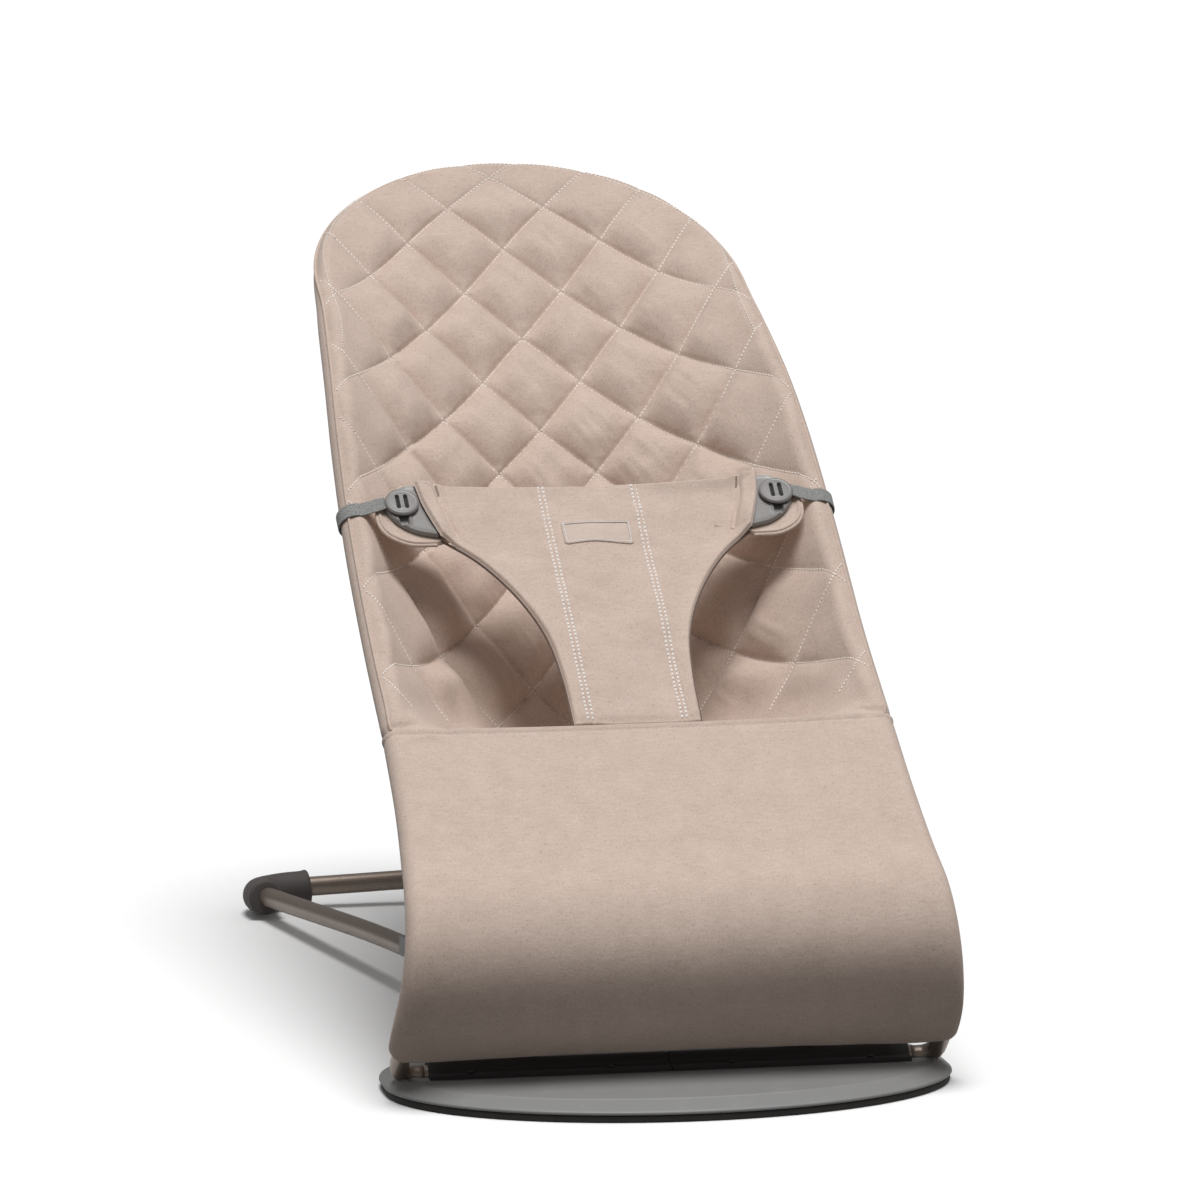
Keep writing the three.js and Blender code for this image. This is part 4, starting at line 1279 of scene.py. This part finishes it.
# the hinge caps take the near-black painted-shade plastic
BASE_PLASTICS = {"rail_socket": plate_plastic, "hinge_cap": hinge_painted_shade_plastic, "stay_rack": plate_plastic}


def add_tube(name, line, radius, body, node, sides=28):
    """Painted tube that stands for a CAD node."""
    piece(sweep(name, line, radius, tube_paint, sides), body, "frame_tube", node)


def add_refined(node, material, bevel, body, slot):
    """Softened piece that stands for its own CAD node."""
    piece(refined(node, material, bevel), body, slot, node)


def add_base():
    plate = loft("base_plate_shell", [base_ring(*level) for level in BASE_LEVELS], plate_plastic)
    piece(plate, "base", "base_plastic", "base_plate")
    mat = loft("base_mat_rubber", [base_ring(*level) for level in MAT_LEVELS], mat_rubber)
    piece(mat, "base", "mat_rubber", "base_mat")
    add_tube("rear_crossbar_tube", resample(spline(CROSS_LINE), 6), RAIL_R, "base", "rear_crossbar")
    for name, side in SIDES:
        rail = resample(spline(mirror(RAIL_LINE, side)), 4)
        add_tube(f"side_rail_{name}_tube", rail, RAIL_R, "base", f"side_rail_{name}")
        piece(build_elbow(name, side, foot_rubber), "base", "foot_rubber", f"rear_foot_{name}")
        for part, plastic in BASE_PLASTICS.items():
            add_refined(f"{part}_{name}", plastic, 0.9, "base", "base_plastic")
        # the cap screws take the dark rubber as painted shade, so they sink into the shade under the hem
        for place in ("inner", "outer"):
            add_refined(f"cap_screw_{name}_{place}", mat_rubber, 0.3, "base", "mat_rubber")


def add_frame():
    bar = resample([(-HINGE_HALF, HINGE_Y, HINGE_Z), (HINGE_HALF, HINGE_Y, HINGE_Z)], 8)
    add_tube("bottom_crossbar_tube", bar, TUBE_R, "lower_frame", "bottom_crossbar")
    add_tube("head_tube_metal", head_line(), TUBE_R, "seat", "head_tube")
    at = lengths(UPPER)
    upper = resample(UPPER[(at > SPLIT_GAP) & (at < SIDE_LENGTH - 0.5)], 4)
    for name, side in SIDES:
        lower = mirror(lower_tube_line(), side)
        add_tube(f"lower_tube_{name}_metal", lower, TUBE_R, "lower_frame", f"lower_tube_{name}")
        add_tube(f"upper_tube_{name}_metal", mirror(upper, side), TUBE_R, "seat", f"upper_tube_{name}")
        add_refined(f"frame_collar_{name}", steel, 0.2, "seat", "fittings")
        add_refined(f"stay_bracket_{name}", steel, 0.5, "lower_frame", "fittings")


def add_stay():
    add_refined("stay_axle", tube_paint, 0.5, "support_stay", "frame_tube")
    for name, side in SIDES:
        leg = resample(spline(mirror(STAY_LEG, side)), 2)
        add_tube(f"stay_leg_{name}_wire", leg, STAY_WIRE, "support_stay", f"stay_leg_{name}", 20)
        add_refined(f"axle_cap_{name}", steel, 0.4, "support_stay", "fittings")


add_seat_cloth()
add_front_panel()
add_flap()
add_buttons()
add_base()
add_frame()
add_stay()


# ---- studio
CAMERA_TURN = math.radians(11.173)
CAMERA_RISE = math.radians(9.866)
CAMERA_REACH = 9.0
CAMERA_LENS = 393.3
LOOK_AT = Vector((-0.0106, -0.092, 0.3026))


def add_camera():
    """Long lens, a little to the left of the seat and above it."""
    camera = bpy.data.objects.new("camera", bpy.data.cameras.new("camera"))
    bpy.context.scene.collection.objects.link(camera)
    level = math.cos(CAMERA_RISE)
    back = Vector((-math.sin(CAMERA_TURN) * level, -math.cos(CAMERA_TURN) * level, math.sin(CAMERA_RISE)))
    camera.location = LOOK_AT + back * CAMERA_REACH
    camera.rotation_euler = back.to_track_quat("Z", "Y").to_euler()
    camera.data.lens = CAMERA_LENS
    camera.data.sensor_width = 36
    camera.data.clip_end = 60
    bpy.context.scene.camera = camera


def add_light(name, towards, spread, strength):
    """Broad soft light from one direction."""
    light = bpy.data.lights.new(name, "SUN")
    light.energy = strength
    light.angle = math.radians(spread)
    obj = bpy.data.objects.new(name, light)
    obj.rotation_euler = Vector(towards).to_track_quat("Z", "Y").to_euler()
    bpy.context.scene.collection.objects.link(obj)


def add_floor():
    corners = [(-14000, -14000, 0), (14000, -14000, 0), (14000, 22400, 0), (-14000, 22400, 0)]
    n = Nodes("studio_floor")
    tone = n.ramp(n.noise(3, 2), [(0.3, grey(0.96)), (0.7, grey(0.98))])
    floor = make("studio_floor", corners, [(0, 1, 2, 3)], n.finish(Base_Color=tone, Roughness=0.8))
    floor.visible_diffuse = False


def add_world():
    world = bpy.data.worlds.new("studio")
    world.use_nodes = True
    inputs = world.node_tree.nodes["Background"].inputs
    inputs["Color"].default_value = (1, 1, 1, 1)
    inputs["Strength"].default_value = 0.16
    bpy.context.scene.world = world


add_camera()
add_floor()
add_world()
add_light("key", (0.02, -0.2, 0.98), 32, 2.75)
add_light("overhead", (-0.1, -0.1, 1), 150, 0.35)
bpy.context.scene.view_settings.view_transform = "Standard"
